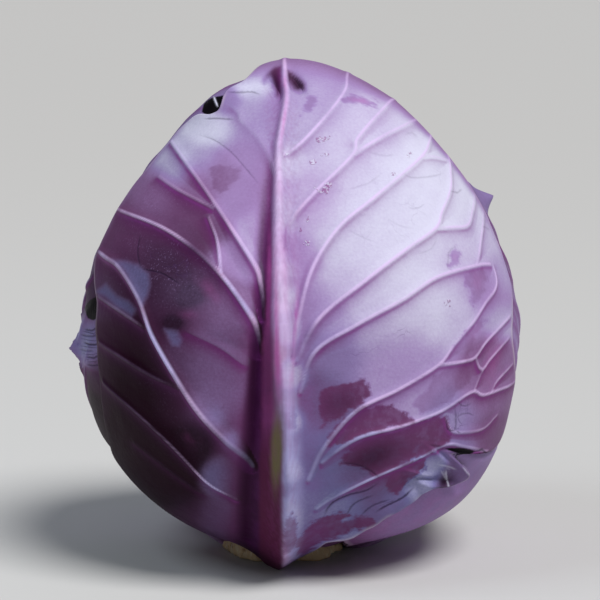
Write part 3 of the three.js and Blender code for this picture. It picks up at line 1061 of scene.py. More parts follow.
def wax_left(tree, broad, fine, shadow, rubbed):
    """How thick the wax is, thinned on the shaded side of the veins as painted shade."""
    bloom = attribute(tree, "bloom")
    clouds = plus(tree, around(tree, broad, 0.5), around(tree, fine, 0.3))
    clouds = times(tree, clouds, eased(tree, bloom, 0.0, 0.4, 0.15, 0.5))
    wax = calc(tree, "SUBTRACT", plus(tree, bloom, clouds), times(tree, shadow, 0.32))
    return times(tree, wax, calc(tree, "SUBTRACT", 1.0, times(tree, rubbed, 0.9)))


def waxed_flesh(tree, wax):
    # `shade` darkens the flesh: partly its own darker colour, partly painted shade.
    flesh = mixed(tree, attribute(tree, "shade"), PLUM_FLESH, DARK_FLESH_AND_SHADE)
    thin = mixed(tree, attribute(tree, "blue"), LILAC_BLOOM, BLUE_BLOOM)
    colour = mixed(tree, eased(tree, wax, 0.0, 0.64), flesh, thin)
    return mixed(tree, eased(tree, wax, 0.5, 1.05), colour, PALE_BLOOM)


# %% [markdown]
# ### Colour of the veins
#
# A vein has a pale crest, which is partly the vein's own colour and partly a painted highlight,
# and a painted shadow along the foot of its shaded side. `light` says how pale the crest is, and
# the blue of the bloom makes it cooler. Between the thick veins a fine net shows, which is a
# pattern of cells bent by noise.

# %% Veins and net in colour


def painted_vein_foot_shadow(tree, place, away, shadow_side):
    """1 along the painted shadow at the shaded foot of the pale veins."""
    foot = ridge_shape(tree, calc(tree, "ABSOLUTE", calc(tree, "SUBTRACT", away, 1.35)), 0.6, 2.0)
    foot = times(tree, foot, shadow_side, attribute(tree, "vein_shade"))
    foot = times(tree, foot, eased(tree, grain(tree, place, 130), 0.35, 0.6, 0.35, 0.8))
    return times(tree, foot, eased(tree, attribute(tree, "light"), 0.3, 0.9))


def fine_net(tree, place):
    """1 on the lines of the net, where it shows."""
    noise = node(tree, "ShaderNodeTexNoise", {"Vector": place, "Scale": 110.0, "Detail": 3.0})
    shift = vector_math(tree, "SCALE", {0: noise.outputs[1], "Scale": 0.009})
    bent = vector_math(tree, "ADD", {0: place, 1: shift})
    net = eased(tree, cell_walls(tree, bent, 120.0), 0.0, 0.035, 1.0, 0.0)
    return times(tree, net, eased(tree, grain(tree, place, 70), 0.46, 0.66), attribute(tree, "net"))


def crest_of_vein(tree, away, rubbed):
    """1 along the top of the veins, and half of that where they are rubbed."""
    crest = eased(tree, away, 0.1, 1.0, 1.0, 0.0)
    crest = times(tree, crest, calc(tree, "SUBTRACT", 1.0, times(tree, rubbed, 0.5)))
    return times(tree, crest, eased(tree, attribute(tree, "ridge"), 0.05 * MM, 0.7 * MM))


# The pale crest is partly the vein's own colour and partly a painted highlight: `light` is lower on veins
# that lie in shade.
def crests_coloured(tree, place, colour, crest):
    light = attribute(tree, "light")
    cool = calc(tree, "MAXIMUM", attribute(tree, "blue"), calc(tree, "SUBTRACT", light, 1.0))
    vein_colour = mixed(tree, cool, mixed(tree, light, VEIN_DEEP, VEIN_PINK), VEIN_BLUE)
    patchy = eased(tree, grain(tree, place, 90), 0.3, 0.6, 0.5, 1.0)
    pale = times(tree, eased(tree, light, 0.0, 2.0, 0.25, 0.95), patchy)
    return mixed(tree, times(tree, crest, pale), colour, vein_colour)


# %% [markdown]
# ### Stains, creases and torn skin
#
# The rest lies on top: a dry rim round the leaf, stains in maroon, magenta and olive, fibres
# along the midrib, pale flecks where the last of the bloom is left on dark skin, creases darkened
# with painted shade, torn edges, gaps painted dark as the shadow under the leaf, and nicks, which
# are torn flakes of skin.

# %% What lies on the bloom
LINE_HALF_WIDTH = 0.34  # millimetres
STAINS = (("maroon", RIB_MAROON), ("magenta", MAGENTA), ("olive", OLIVE))


def rimmed(tree, colour, broad):
    """Dries the last of the leaf's reach, least where `shade` darkens the flesh, which is partly painted
    shade.
    """
    rim = times(tree, eased(tree, attribute(tree, "share"), 0.975, 0.995), 0.5)
    rim = times(tree, rim, eased(tree, broad, 0.4, 0.6))
    rim = times(tree, rim, eased(tree, attribute(tree, "shade"), 0.2, 0.9, 1.0, 0.25))
    return mixed(tree, rim, colour, DRY_RIM)


def stained(tree, colour, middling):
    for stain, paint in STAINS:
        weight = plus(tree, attribute(tree, stain), around(tree, middling, 0.5))
        weight = times(tree, eased(tree, weight, 0.1, 0.9), attribute(tree, stain))
        colour = mixed(tree, weight, colour, paint)
    return colour


def rib_fibres(tree, place):
    fibres = grain(tree, place, 900, detail=0.5, stretch=(1, 1, 0.02))
    return times(tree, eased(tree, fibres, 0.35, 0.7), attribute(tree, "rib"))


def wax_flecks(tree, place, wrinkles):
    flecks = eased(tree, grain(tree, place, 1500, detail=2.0), 0.58, 0.66)
    return times(tree, flecks, eased(tree, wrinkles, 0.42, 0.6), attribute(tree, "fleck"))


def thin_line(tree, name, wobble):
    """1 on a line that was painted as a signed distance and a strength."""
    side = plus(tree, attribute(tree, name + "_side"), around(tree, wobble, 0.5))
    side = calc(tree, "ABSOLUTE", side)
    return times(tree, ridge_shape(tree, side, LINE_HALF_WIDTH, 2.0), attribute(tree, name))


def torn_flakes(tree, place):
    tatters = grain(tree, place, 620, detail=1.0)
    return eased(tree, times(tree, attribute(tree, "nick"), tatters), 0.38, 0.44)


# %% [markdown]
# ### The leaf material
#
# Now the layers are laid one on another. Relief that is too fine for the mesh comes last, as bump.

# %% The leaf material


def leaf_skin(name):
    skin, tree, shader, place = bare_material(name)
    broad, middling, fine = grain(tree, place, 45), grain(tree, place, 210), grain(tree, place, 1100)
    wrinkles = grain(tree, place, 420, stretch=(0.35, 0.35, 1.6))
    away = half_widths_away(tree, "vein_nearness")
    shadow_away = half_widths_away(tree, "shade_nearness")
    shadow_side = eased(tree, calc(tree, "SUBTRACT", away, shadow_away), -0.5, 1.0)
    beside = ridge_shape(tree, away, 3.0, 1.6)
    shadow = times(tree, shadow_side, beside, attribute(tree, "vein_shade"))

    rubbed = rubbed_bare(tree, place, middling, fine)
    wax = wax_left(tree, broad, fine, shadow, rubbed)
    colour = mixed(tree, times(tree, shadow, 0.55), waxed_flesh(tree, wax), VEIN_SHADOW)
    colour = mixed(tree, painted_vein_foot_shadow(tree, place, away, shadow_side), colour, VEIN_FOOT_SHADOW)
    net = fine_net(tree, place)
    colour = mixed(tree, times(tree, net, 0.3), colour, NET_LINE)
    crest = crest_of_vein(tree, away, rubbed)
    colour = crests_coloured(tree, place, colour, crest)

    colour = stained(tree, rimmed(tree, colour, broad), middling)
    fibres = rib_fibres(tree, place)
    colour = mixed(tree, times(tree, fibres, 0.14), colour, CRIMSON)
    colour = mixed(tree, times(tree, wax_flecks(tree, place, wrinkles), 0.26), colour, LILAC_BLOOM)
    creased, torn_edge = thin_line(tree, "crease", fine), thin_line(tree, "torn", fine)
    # Creases darken as painted shade in their fold; the faintest lines are fine veins.
    colour = mixed(tree, times(tree, creased, 0.85), colour, CREASE_SHADE_AND_LINE)
    # Gaps are painted nearly black, as the shadow under the leaf.
    gap = plus(tree, attribute(tree, "gap"), around(tree, fine, 0.5))
    colour = mixed(tree, eased(tree, gap, -0.3, 0.3), colour, GAP_SHADOW)
    colour = mixed(tree, torn_edge, colour, PALE_BLOOM)
    torn = torn_flakes(tree, place)
    flake = mixed(tree, eased(tree, grain(tree, place, 900), 0.47, 0.55), CRIMSON, PALE_BLOOM)
    colour = mixed(tree, times(tree, torn, 0.5), colour, flake)

    tree.links.new(colour, shader.inputs["Base Color"])
    tree.links.new(eased(tree, wax, 0.0, 0.8, 0.50, 0.45), shader.inputs["Roughness"])
    shader.inputs["Specular IOR Level"].default_value = 0.06
    relief = ((torn, 0.6), (net, -0.3), (fibres, -0.1), (torn_edge, 0.8), (creased, -1.2),
              (crest, 0.4), (middling, 0.55), (wrinkles, 0.25), (fine, 0.12))
    height = plus(tree, *(times(tree, layer, share) for layer, share in relief))
    bumped(tree, shader, height, 0.5, 0.6 * MM)
    return skin


# %% [markdown]
# ## Painting
#
# The front leaf is painted with dabs, as seen from the front: a place in millimetres across and
# up, the size of the dab, and the thickness and blueness of the bloom there. A few pale bluish
# dabs at the upper left are a painted sheen, a highlight on the wax, more than thick bloom. Between
# the dabs the values blend, as with a big soft brush in Vertex Paint.

# %% Dabs of bloom
# Each dab: across, up, size, bloom, blue.
DABS = [
    (45, 125, 13, 0.95, 0.3), (56, 116, 10, 1.0, 0.3), (30, 110, 13, 0.87, 0.2),
    (26, 140, 12, 0.78, 0.1), (10, 152, 10, 0.66, 0.25), (14, 164, 7, 0.62, 0.2),
    (11, 122, 8, 0.68, 0.0), (60, 104, 9, 0.78, 0.1), (40, 91, 12, 0.88, 0.2),
    (56, 84, 8, 0.8, 0.2), (30, 79, 9, 0.8, 0.3), (20, 70, 8, 0.45, 0.6), (22, 92, 8, 0.76, 0.15),
    (18, 80, 5, 0.64, 0.3), (40, 66, 10, 0.6, 0.2), (13, 51, 7, 0.28, 0.9), (11, 32, 8, 0.5, 1.0),
    (9.5, 13, 5, 0.6, 1.0), (3.5, 12, 3, 0.84, 1.0), (3.7, 28, 3, 0.88, 1.0),
    (3.7, 45, 3, 0.84, 0.9), (4, 60, 3, 0.8, 0.6), (28, 25, 7, 0.3, 1.0), (20, 15, 6, 0.62, 1.0),
    (62, 46, 6, 0.58, 0.5), (71, 54, 6, 0.28, 0.0), (72, 41, 6, 0.16, 0.1), (75, 66, 6, 0.26, 0.0),
    (74, 92, 7, 0.5, 0.1), (79, 96, 5, 0.8, 0.4), (63, 36, 4, 0.42, 0.7), (52.5, 29, 3.4, 0.7, 1.0),
    (61, 26, 4, 0.3, 0.8), (45, 20, 3, 0.7, 1.0), (40, 17, 4, 0.45, 1.0), (33, 12, 4, 0.4, 1.0),
    (12, 86, 6, 0.56, 0.2), (70, 112, 8, 0.78, 0.3), (5, 100, 6, 0.56, 0.0), (78, 80, 5, 0.68, 0.3),
    (0.5, 118, 3.5, 0.8, 0.1), (0.6, 98, 3.5, 0.86, 0.1), (1, 78, 3.5, 0.74, 0.3),
    (0.6, 88, 3.5, 0.86, 0.1), (3.5, 136, 4, 0.84, 0.1),
    # The dabs at (-11, 163.5), (-24, 147) and (-39, 136) are a painted sheen on the wax.
    (-11, 163.5, 5, 0.95, 0.5), (-10, 150, 8, 0.62, 0.3), (-24, 147, 6, 0.92, 0.5), (-15, 136, 7, 0.5, 0.1),
    (-23, 132, 6, 0.36, 0.0), (-39, 136, 6, 0.78, 0.6), (-20, 156.5, 4, 0.42, 0.5),
    (-29, 127, 5, 0.3, 0.1), (-27.5, 136, 4, 0.72, 0.4), (-46, 125, 7, 0.25, 0.0),
    (-17.5, 121, 5, 0.5, 0.1), (-22, 111, 4, 0.16, 0.0), (-12, 110, 6, 0.68, 0.1),
    (-35, 117, 7, 0.12, 0.0), (-17.5, 103, 5, 0.54, 0.0), (-30, 109, 4, 0.08, 0.0),
    (-10, 100, 4, 0.66, 0.1), (-40, 103, 9, 0.1, 0.3), (-56, 111, 8, 0.08, 0.0), (-50, 92, 6, 0.08, 0.2),
    (-38, 80, 6, 0.07, 0.2), (-62, 85, 5, 0.12, 0.4), (-30, 90, 8, 0.2, 0.0), (-18, 84, 6, 0.3, 0.1),
    (-36, 68, 5, 0.16, 0.3), (-25, 66, 9, 0.24, 0.35), (-20, 50, 8, 0.3, 0.35), (-16, 44, 5, 0.1, 0.3),
    (-31, 37, 6, 0.05, 0.0), (-50, 60, 12, 0.0, 0.0), (-57, 75, 7, 0.0, 0.0),
    (-23, 25.5, 4.2, 0.42, 0.9), (-17, 39, 3, 0.5, 0.9), (-23, 46.5, 3, 0.46, 0.8),
    (-13.6, 33, 2.5, 0.45, 0.9),
    (-18, 25, 5, 0.14, 0.4), (-42, 28, 10, 0.0, 0.0), (-24, 11, 5, 0.2, 0.5), (-34, 12, 6, 0.06, 0.0),
    (-12, 8, 5, 0.1, 0.2), (-10, 70, 5, 0.18, 0.1), (-10, 40, 5, 0.1, 0.2),
]
FAR_WEIGHT = 1e-4  # how much a dab still counts far outside its size
PLAIN_BLOOM, PLAIN_BLUE, PLAIN_WEIGHT = 0.3, 0.2, 1e-6  # where no dab reaches


def dabbed(seen):
    """The bloom and its blueness at places as seen from the front."""
    weights = np.full(len(seen), PLAIN_WEIGHT)
    bloom, blue = PLAIN_BLOOM * weights, PLAIN_BLUE * weights
    for across, up, size, thickness, coolness in DABS:
        away = np.hypot(seen[:, 0] - across, seen[:, 1] - up) / size
        weight = np.exp(-(away**2)) + FAR_WEIGHT / (1 + away**4)
        weights += weight
        bloom += weight * thickness
        blue += weight * coolness
    return bloom / weights, blue / weights


print(len(DABS), "dabs of bloom")

# %% [markdown]
# ### Patches with a border
#
# Where the bloom was rubbed off the border is clear, so those patches are outlines. What is
# stored is how deep inside the outline each point is: a number that changes evenly can be cut
# sharply in the shader, however coarse the mesh is.

# %% Outlines
# Thin, bluish bloom
BLUE_PATCHES = [
    [(-60, 101.5), (-55, 101), (-50.5, 99.5), (-47, 96.5), (-46.4, 92.5), (-47.4, 88.5), (-49.4, 85),
     (-51.5, 88.5), (-55, 96)],
    [(-66, 90), (-62, 88), (-58, 84.5), (-53, 81.5), (-51, 84), (-54, 87), (-58, 88.6), (-62, 93)],
    [(-41.5, 77), (-37, 76.4), (-34.8, 73.4), (-36, 70.6), (-39, 71)],
]
# Rubbed bare
RUBBED_PATCHES = [
    [(12, 52.5), (13, 55), (17, 56.5), (22, 58), (28.5, 59.5), (30, 57.5), (30.5, 54), (28, 51),
     (24, 48.5), (20, 46), (16, 44.5), (14, 43), (13.5, 46), (13, 49)],
    [(17, 41), (20, 44), (26, 49.5), (33, 50.5), (38, 50.5), (40, 49), (44, 46.5), (47, 45),
     (43, 43), (36, 42), (30, 40.5), (26, 38.5), (20, 37.5), (16, 35.5), (14.5, 36)],
    [(20, 30), (24, 36), (30, 39), (37, 40.5), (46, 44), (54, 46.5), (57, 46.5), (58.5, 42),
     (58.5, 38), (54, 34), (50, 33), (44, 31.5), (38, 28), (33, 25.5), (28, 28), (24, 30.2)],
    [(35, 25), (40, 28.5), (45, 31), (50, 31.5), (50, 28), (46, 25), (42, 22), (40, 19), (37, 20),
     (36, 22)],
    [(4, 1), (8, 8), (13, 11), (20, 13), (23, 12), (21, 10), (27, 11), (31, 10.5), (33, 9),
     (28, 7.5), (22, 5.5), (18, 4), (12, 2), (8, -2), (5, -2)],
    [(0, -3), (4.5, 0), (5, 8), (3.5, 13), (1.2, 12), (0.4, 5)],
]
# Rubbed so lightly that a good part of the bloom is left
WORN_PATCHES = [
    [(57, 66), (60, 71), (65, 77), (69, 80), (71, 80), (67, 74), (65, 69), (65, 65.5), (60, 65)],
    [(64, 96), (70, 98.5), (71, 95), (70, 90), (67, 85), (65, 87), (66, 91), (63, 93)],
    [(21, 157), (25, 158.3), (30, 157.6), (33.5, 156), (33, 155), (28, 156), (24, 156.4)],
    [(46, 50), (50, 56), (53, 61), (58, 63.5), (64, 64.5), (66, 62), (65, 58), (60, 55), (57, 51),
     (54, 48.5), (48, 47)],
    [(57.5, 98.5), (61, 98.5), (62, 104), (60, 106), (58, 103)],
    [(1.5, 42), (4.5, 42.5), (5, 47), (3.5, 49.5)],
    [(6, 152), (9, 159), (12, 158), (10, 153)],
    [(-26, 134.5), (-14, 134), (-16, 128), (-22, 124.5), (-25, 130)],
]
# Painted shade in the hollows at both sides of the midrib's tip
PIT_SHADES = [
    [(-8.6, 163.5), (-6, 166.4), (-3, 168.8), (-0.6, 169), (-0.4, 158.4), (-2, 158.4), (-3.6, 163.2),
     (-4.4, 165), (-5.6, 164.6), (-6.6, 162.4)],
    [(0.8, 168), (3, 167), (5.5, 165.2), (7.8, 163), (8, 160.4), (5.5, 159.8), (3, 161), (1.6, 164)],
]
# Openings beside the flap, painted nearly black as the shadow under the leaf
GAP_SHADOWS = [
    [(56.6, 35.2), (61, 35.5), (65, 35.1), (67.4, 34), (64.5, 32.7), (61.6, 33.2), (59.4, 34)],
    [(60.8, 32), (62.5, 31.6), (65, 29.6), (62.4, 29.6)],
]
# Openings between the deeper leaves at the left edge and at the upper left, painted dark as shadow on the
# leaves below
NOTCH_SHADOW = [(-64.5, 88.5), (-67.6, 87.6), (-69.6, 86.4), (-72, 85.4), (-72, 83.4), (-69.4, 82.4), (-68.6, 80.6),
         (-66.5, 80), (-64.5, 81)]
HOLLOW_SHADOW = [(-28.5, 153), (-27.6, 156.2), (-25.2, 158), (-19.5, 159), (-17.5, 157), (-20.5, 154),
          (-21.5, 152), (-24, 150)]


def depth_in_outline(seen, outline):
    """Millimetres inside an outline, and below zero outside it."""
    nearest = np.full(len(seen), 1e9)
    inside = np.zeros(len(seen), bool)
    for start, end in zip(outline, outline[1:] + outline[:1]):
        start, run = np.array(start, float), np.array(end, float) - np.array(start, float)
        from_start = seen - start
        share = np.clip(from_start @ run / (run @ run), 0, 1)
        nearest = np.minimum(nearest, np.linalg.norm(from_start - share[:, None] * run, axis=1))
        crosses = (start[1] > seen[:, 1]) != (start[1] + run[1] > seen[:, 1])
        height = np.where(run[1] == 0, 1e-9, run[1])
        at = start[0] + (seen[:, 1] - start[1]) / height * run[0]
        inside ^= crosses & (seen[:, 0] < at)
    return np.where(inside, nearest, -nearest)


def deepest(seen, outlines, at_most):
    """Millimetres inside the outline that the place is deepest in."""
    depths = [depth_in_outline(seen, outline) for outline in outlines]
    return np.minimum(np.max(depths, axis=0), at_most)


print(len(RUBBED_PATCHES) + len(WORN_PATCHES), "rubbed or worn patches,", len(GAP_SHADOWS), "gaps")

# %% [markdown]
# ### Thin lines
#
# Creases and torn edges are thinner than the squares of the mesh. So each line is stored as a
# distance with a sign, plus on one side and minus on the other. Between two points of the mesh it
# passes through zero exactly on the line. A second number says how strong the line is there.

# %% Creases, torn edges and pleats
# Each line is how strong it is, then its points. The creases are darkened as painted shade in
# their fold, and the faintest lines are fine veins.
CREASES = [
    (0.8, [(14, 11), (17, 16), (23, 19), (29, 20.5), (34, 23.5)]),
    (0.6, [(22, 11.5), (25, 16), (32, 19)]),
    (0.6, [(27, 11.5), (31, 15), (38, 17.5)]), (0.9, [(32, 12.5), (36, 15), (42, 18), (46, 21.8)]),
    (0.5, [(20, 30), (26, 29.5), (31, 27), (34, 24.5)]), (0.8, [(67, 34), (70, 34.8), (71.6, 33)]),
    (0.5, [(-20, 160), (-15, 159.8), (-11, 160), (-7.5, 158.8)]),
    (0.5, [(-28, 150.4), (-23, 150.6), (-17, 150.2)]),
    (0.6, [(-50, 98), (-43, 96.6), (-40, 95), (-36, 92.5)]), (0.5, [(-50, 98), (-51, 104), (-50, 110)]),
    (0.5, [(57.2, 47), (57.4, 42), (60.2, 41.4), (60.4, 46), (60, 50)]), (0.4, [(60.5, 41.4), (62, 40.4)]),
    (0.3, [(61, 52), (63, 49.5), (66, 51)]), (0.3, [(60.6, 46), (64, 47.5), (67, 46.4)]),
    (0.3, [(-30, 145), (-24, 143), (-18, 138.6), (-13, 133), (-8, 127)]),
    (0.2, [(41.8, 131.8), (44.5, 130), (48.8, 130), (53.2, 130.5), (56.7, 131.8)]),
    (0.3, [(58.5, 125.2), (62, 124.6), (62.8, 126)]), (0.17, [(43.6, 119.5), (47, 119), (49.7, 120.8)]),
    (0.12, [(22.6, 125.6), (27, 127), (30.5, 128.3), (34.8, 131.8)]),
    (0.15, [(42.7, 145), (45.3, 145.8), (47, 144)]), (0.1, [(22.6, 111.6), (27.8, 109), (32.2, 107.3)]),
    (0.2, [(57.6, 97.6), (58, 103), (58.5, 104.6), (61, 106)]),
    (0.2, [(69.8, 113), (72.5, 111.6)]), (0.1, [(36, 116), (41, 113), (46, 112)]),
    (0.12, [(47, 103), (52, 105), (54, 109)]), (0.12, [(30, 139), (35, 137.6), (40, 138)]),
]
TORN_EDGES = [
    (0.7, [(59.8, 33.4), (62.5, 31.9), (65, 30)]),
    (0.6, [(57.0, 28), (57.2, 25), (57.9, 22.4), (58.2, 20.4)]),
    (0.35, [(55.2, 27.6), (56.4, 26), (57.2, 24)]), (0.4, [(62.8, 28.8), (64.2, 27), (65.5, 25.4)]),
    (0.35, [(54, 29.4), (57.5, 29), (61, 27.6)]),
]
# The pale edge of a leaf inside the opening at the upper left
SLIVERS = [(1.0, [(-24.4, 158.6), (-23.8, 156.6), (-22.8, 154.6)])]
# Painted shade in the dark lines between the folds of the frill
PLEATS = [
    (0.9, [(-69.6, 77), (-67, 76.4), (-64.4, 78)]), (0.7, [(-71, 75.2), (-67.5, 74.4), (-64.4, 75.2)]),
    (1.0, [(-70, 72.6), (-67, 71.4), (-63.6, 72.2)]), (0.5, [(-71.5, 70), (-68, 69.3), (-66, 69.4)]),
    (0.9, [(-69, 67.4), (-66.5, 66.8), (-63.6, 68.4)]), (0.7, [(-69, 64.8), (-66.5, 64.2), (-63.6, 64.8)]),
]
LINE_REACH = 1.1  # millimetres beside a line where it still counts
LINE_STEP = 1.5
LINE_MARGIN = 3.0  # millimetres round a line in which its distance is worked out


def drawn(seen, chains, reach=LINE_REACH):
    """For each point the signed distance to the nearest chain, and how strong the line is."""
    side, strength = np.full(len(seen), 3 * LINE_MARGIN), np.zeros(len(seen))
    for line_strength, chain in chains:
        points = smooth_line(chain, LINE_STEP)
        low, high = points.min(axis=0) - LINE_MARGIN, points.max(axis=0) + LINE_MARGIN
        near = np.all((seen > low) & (seen < high), axis=1)
        spot, best, fade = seen[near], side[near], strength[near]
        for index, (start, end) in enumerate(zip(points, points[1:])):
            run, offset = end - start, spot - start
            share = np.clip(offset @ run / (run @ run), 0, 1)
            aside = np.linalg.norm(offset - share[:, None] * run, axis=1)
            progress = (index + share) / (len(points) - 1)
            closer = aside < np.abs(best)
            signed = np.copysign(aside, run[0] * offset[:, 1] - run[1] * offset[:, 0])
            best = np.where(closer, signed, best)
            taper = np.minimum(1, 5 * np.minimum(progress, 1 - progress))
            fade = np.where(closer, line_strength * taper, fade)
        side[near], strength[near] = best, fade
    return side, strength * np.exp(-((side / reach) ** 4))


print(len(CREASES), "creases and", len(TORN_EDGES), "torn edges")

# %% [markdown]
# ### The front leaf's paint
#
# The midrib has a groove on its left, painted dark as shade, and a flank that turns from maroon
# into the pale crest; the flank's dark is partly its own colour and partly painted shade. Soft
# ellipses add the olive spot on the rib, the deep purple of the lower left, which is partly dark
# flesh and partly painted shade, the pinker veins, and the places where pale flecks or a fine net
# show. The shade in the dent by the flap and in the hollows at the midrib's tip is painted too. A
# soft brush in Texture Paint would do the same by hand.

# %% Paint the front leaf
# Height, left side, right side, strength, of the groove that is painted dark as shade.
RIB_GROOVE_SHADE = [(-4, -15.5, -7.6, 1), (20, -15.5, -7.6, 1), (40, -13.4, -7.4, 1), (60, -11.8, -7.2, 1),
              (70, -11, -7.4, 1), (80, -9.6, -5.6, 0.9), (90, -9.2, -5, 0.85), (100, -8.8, -4.8, 0.8),
              (110, -8.2, -4.6, 0.7), (120, -7.6, -4.4, 0.6), (130, -6, -4, 0.4), (138, -5, -4, 0)]
# Height, where the flank is darkest, where it has turned pale, strength, and share of magenta.
# The flank's dark is partly its own maroon and magenta and partly painted shade.
RIB_FLANK = [(-4, -1.5, 2.2, 1, 0), (30, -2, 2, 0.95, 0), (45, -2, 5.0, 0.95, 0.35),
             (55, -4.6, 1.4, 1, 0.3), (70, -5.6, -1.2, 1, 0.35), (85, -5.4, -1.9, 1, 0.6),
             (97, -5.2, -2.3, 0.95, 0.85), (106, -5.2, -2.6, 0.75, 1), (120, -5, -2.8, 0.48, 1),
             (134, -4.5, -3, 0.28, 1), (144, -4, -2.6, 0, 1)]
# Soft ellipses: across, up, half length, half width, tilt in degrees, strength.
OLIVE_BLOBS = [(-2.2, 34, 15, 2.4, 88, 1.2)]
# Darker flesh, partly its own colour and partly painted shade, as at the lower left and by the flap
SHADE_AND_DARK_FLESH_BLOBS = [
    (-52, 62, 26, 34, 20, 1.0), (-40, 100, 22, 14, 20, 0.6), (-44, 24, 30, 16, -30, 1.0),
    (31, 32, 11, 5, 25, 0.7), (20, 51, 8, 5, 20, 0.4), (-30, 36, 12, 8, 40, 0.6),
    (-30, 92, 12, 6, 30, 0.4), (-31, 88, 5, 3, 20, 0.7), (-38, 79, 4, 3, 0, 0.6),
    (56.2, 23.4, 4.2, 3.0, 60, 1.0), (64, 30.5, 4, 2, -20, 0.6),
]
# Where the veins cast hardly any shadow
CALM_BLOBS = [(-11, 145, 15, 7, 125, 0.8)]
MAGENTA_BLOBS = [
    (73, 64, 15, 5, 78, 0.4), (67, 76, 6, 3, 60, 0.3), (68, 94, 6, 3, 80, 0.35),
    (27, 157, 6, 1.4, -8, 0.45), (60, 102, 4, 2, 80, 0.3), (-26, 91, 9, 4, -50, 0.4),
    (-33, 82, 6, 3, 0, 0.3), (0.2, 149, 9, 1.1, 82, 0.6), (0.6, 163, 6, 1.2, 92, 0.55),
    (-32, 38, 6, 4, -40, 0.3), (4.6, 82, 16, 1.3, 86, 0.5), (-2.4, 84, 24, 1.3, 91, 0.65),
    (0.8, 96, 24, 1.6, 92, 0.4), (-1.2, 60, 13, 2.6, 92, 0.5), (3.4, 62, 9, 1.2, 84, 0.3),
    (2.4, 45, 9, 2.6, 88, 0.3),
]
# Where pale flecks of wax are left
FLECK_BLOBS = [
    (-42, 104, 14, 9, -30, 1.0), (-38, 94, 10, 8, 0, 0.7), (-45, 122, 12, 6, 10, 0.8),
    (-58, 96, 6, 12, 0, 0.4), (31, 44, 22, 9, 10, 0.35), (-30, 60, 18, 20, 0, 0.25),
]
# Where the fine net of small veins shows
NET_BLOBS = [
    (38, 72, 13, 11, 0, 1.0), (62, 47, 6, 6, 0, 1.3), (58, 120, 10, 22, -30, 0.4),
    (30, 120, 30, 24, 0, 0.25), (-43, 101, 13, 10, -30, 0.8),
]
# An ellipse without a strength. A real dent here would cut into the next leaf, so its shade is painted
# instead.
DENT_SHADE = (56.4, 23.4, 4.2, 3.6, 60)
# Across, up and size of the nicks
NICKS = [
    (8.4, 115.5, 1.8), (8.4, 107, 2.2), (12.5, 143.3, 2.0), (15.4, 144.4, 1.7), (14.6, 138.2, 2.3),
    (10.5, 135.6, 1.8), (16.2, 127.8, 2.1), (14.4, 125, 1.9), (1.4, 138.4, 1.4), (44, 138, 1.9),
    (38.6, 131, 1.6), (58, 86, 2.4), (11, 126, 1.6), (6, 112, 1.4),
]
UNRUBBED = -20  # millimetres inside a patch: so far outside that no noise reaches it
print(len(NICKS), "nicks in the front leaf")


def ellipse_reach(seen, across, up, half_length, half_width, tilt):
    """How far each seen point is from an ellipse's middle: 1 is on the ellipse."""
    tilt = math.radians(tilt)
    dx, dy = seen[:, 0] - across, seen[:, 1] - up
    along = dx * math.cos(tilt) + dy * math.sin(tilt)
    aside = dy * math.cos(tilt) - dx * math.sin(tilt)
    return np.hypot(along / half_length, aside / half_width)


def soft_blobs(seen, blobs):
    total = np.zeros(len(seen))
    for *shape, strength in blobs:
        total += strength * np.exp(-ellipse_reach(seen, *shape) ** 2)
    return np.clip(total, 0, 1)


def at_heights(rows, heights):
    """The columns of the rows after the first, read off at the heights."""
    first, *columns = zip(*rows)
    return [np.interp(heights, first, column) for column in columns]


def paint(mesh, **layers):
    """Stores each layer on the mesh, as one number or one for each point."""
    for name, values in layers.items():
        write_numbers(mesh, name, np.broadcast_to(values, len(mesh.vertices)))


def beside_rib(across, up):
    """The groove left of the midrib, painted dark as shade, the flank of the rib, whose dark is partly
    painted shade, and how magenta the flank is.
    """
    left, right, strength = at_heights(RIB_GROOVE_SHADE, up)
    soft = 1 + smooth_step(60, 30, up)
    groove = strength * smooth_step(left - 2.5 * soft, left + 1.5 * soft, across)
    groove *= smooth_step(right + 1.4, right - 0.6, across)
    dark_side, pale_side, strength, magenta = at_heights(RIB_FLANK, up)
    flank = strength * smooth_step(pale_side, dark_side, across)
    flank *= smooth_step(right - 2.5, right + 0.5, across)
    return groove, flank, magenta


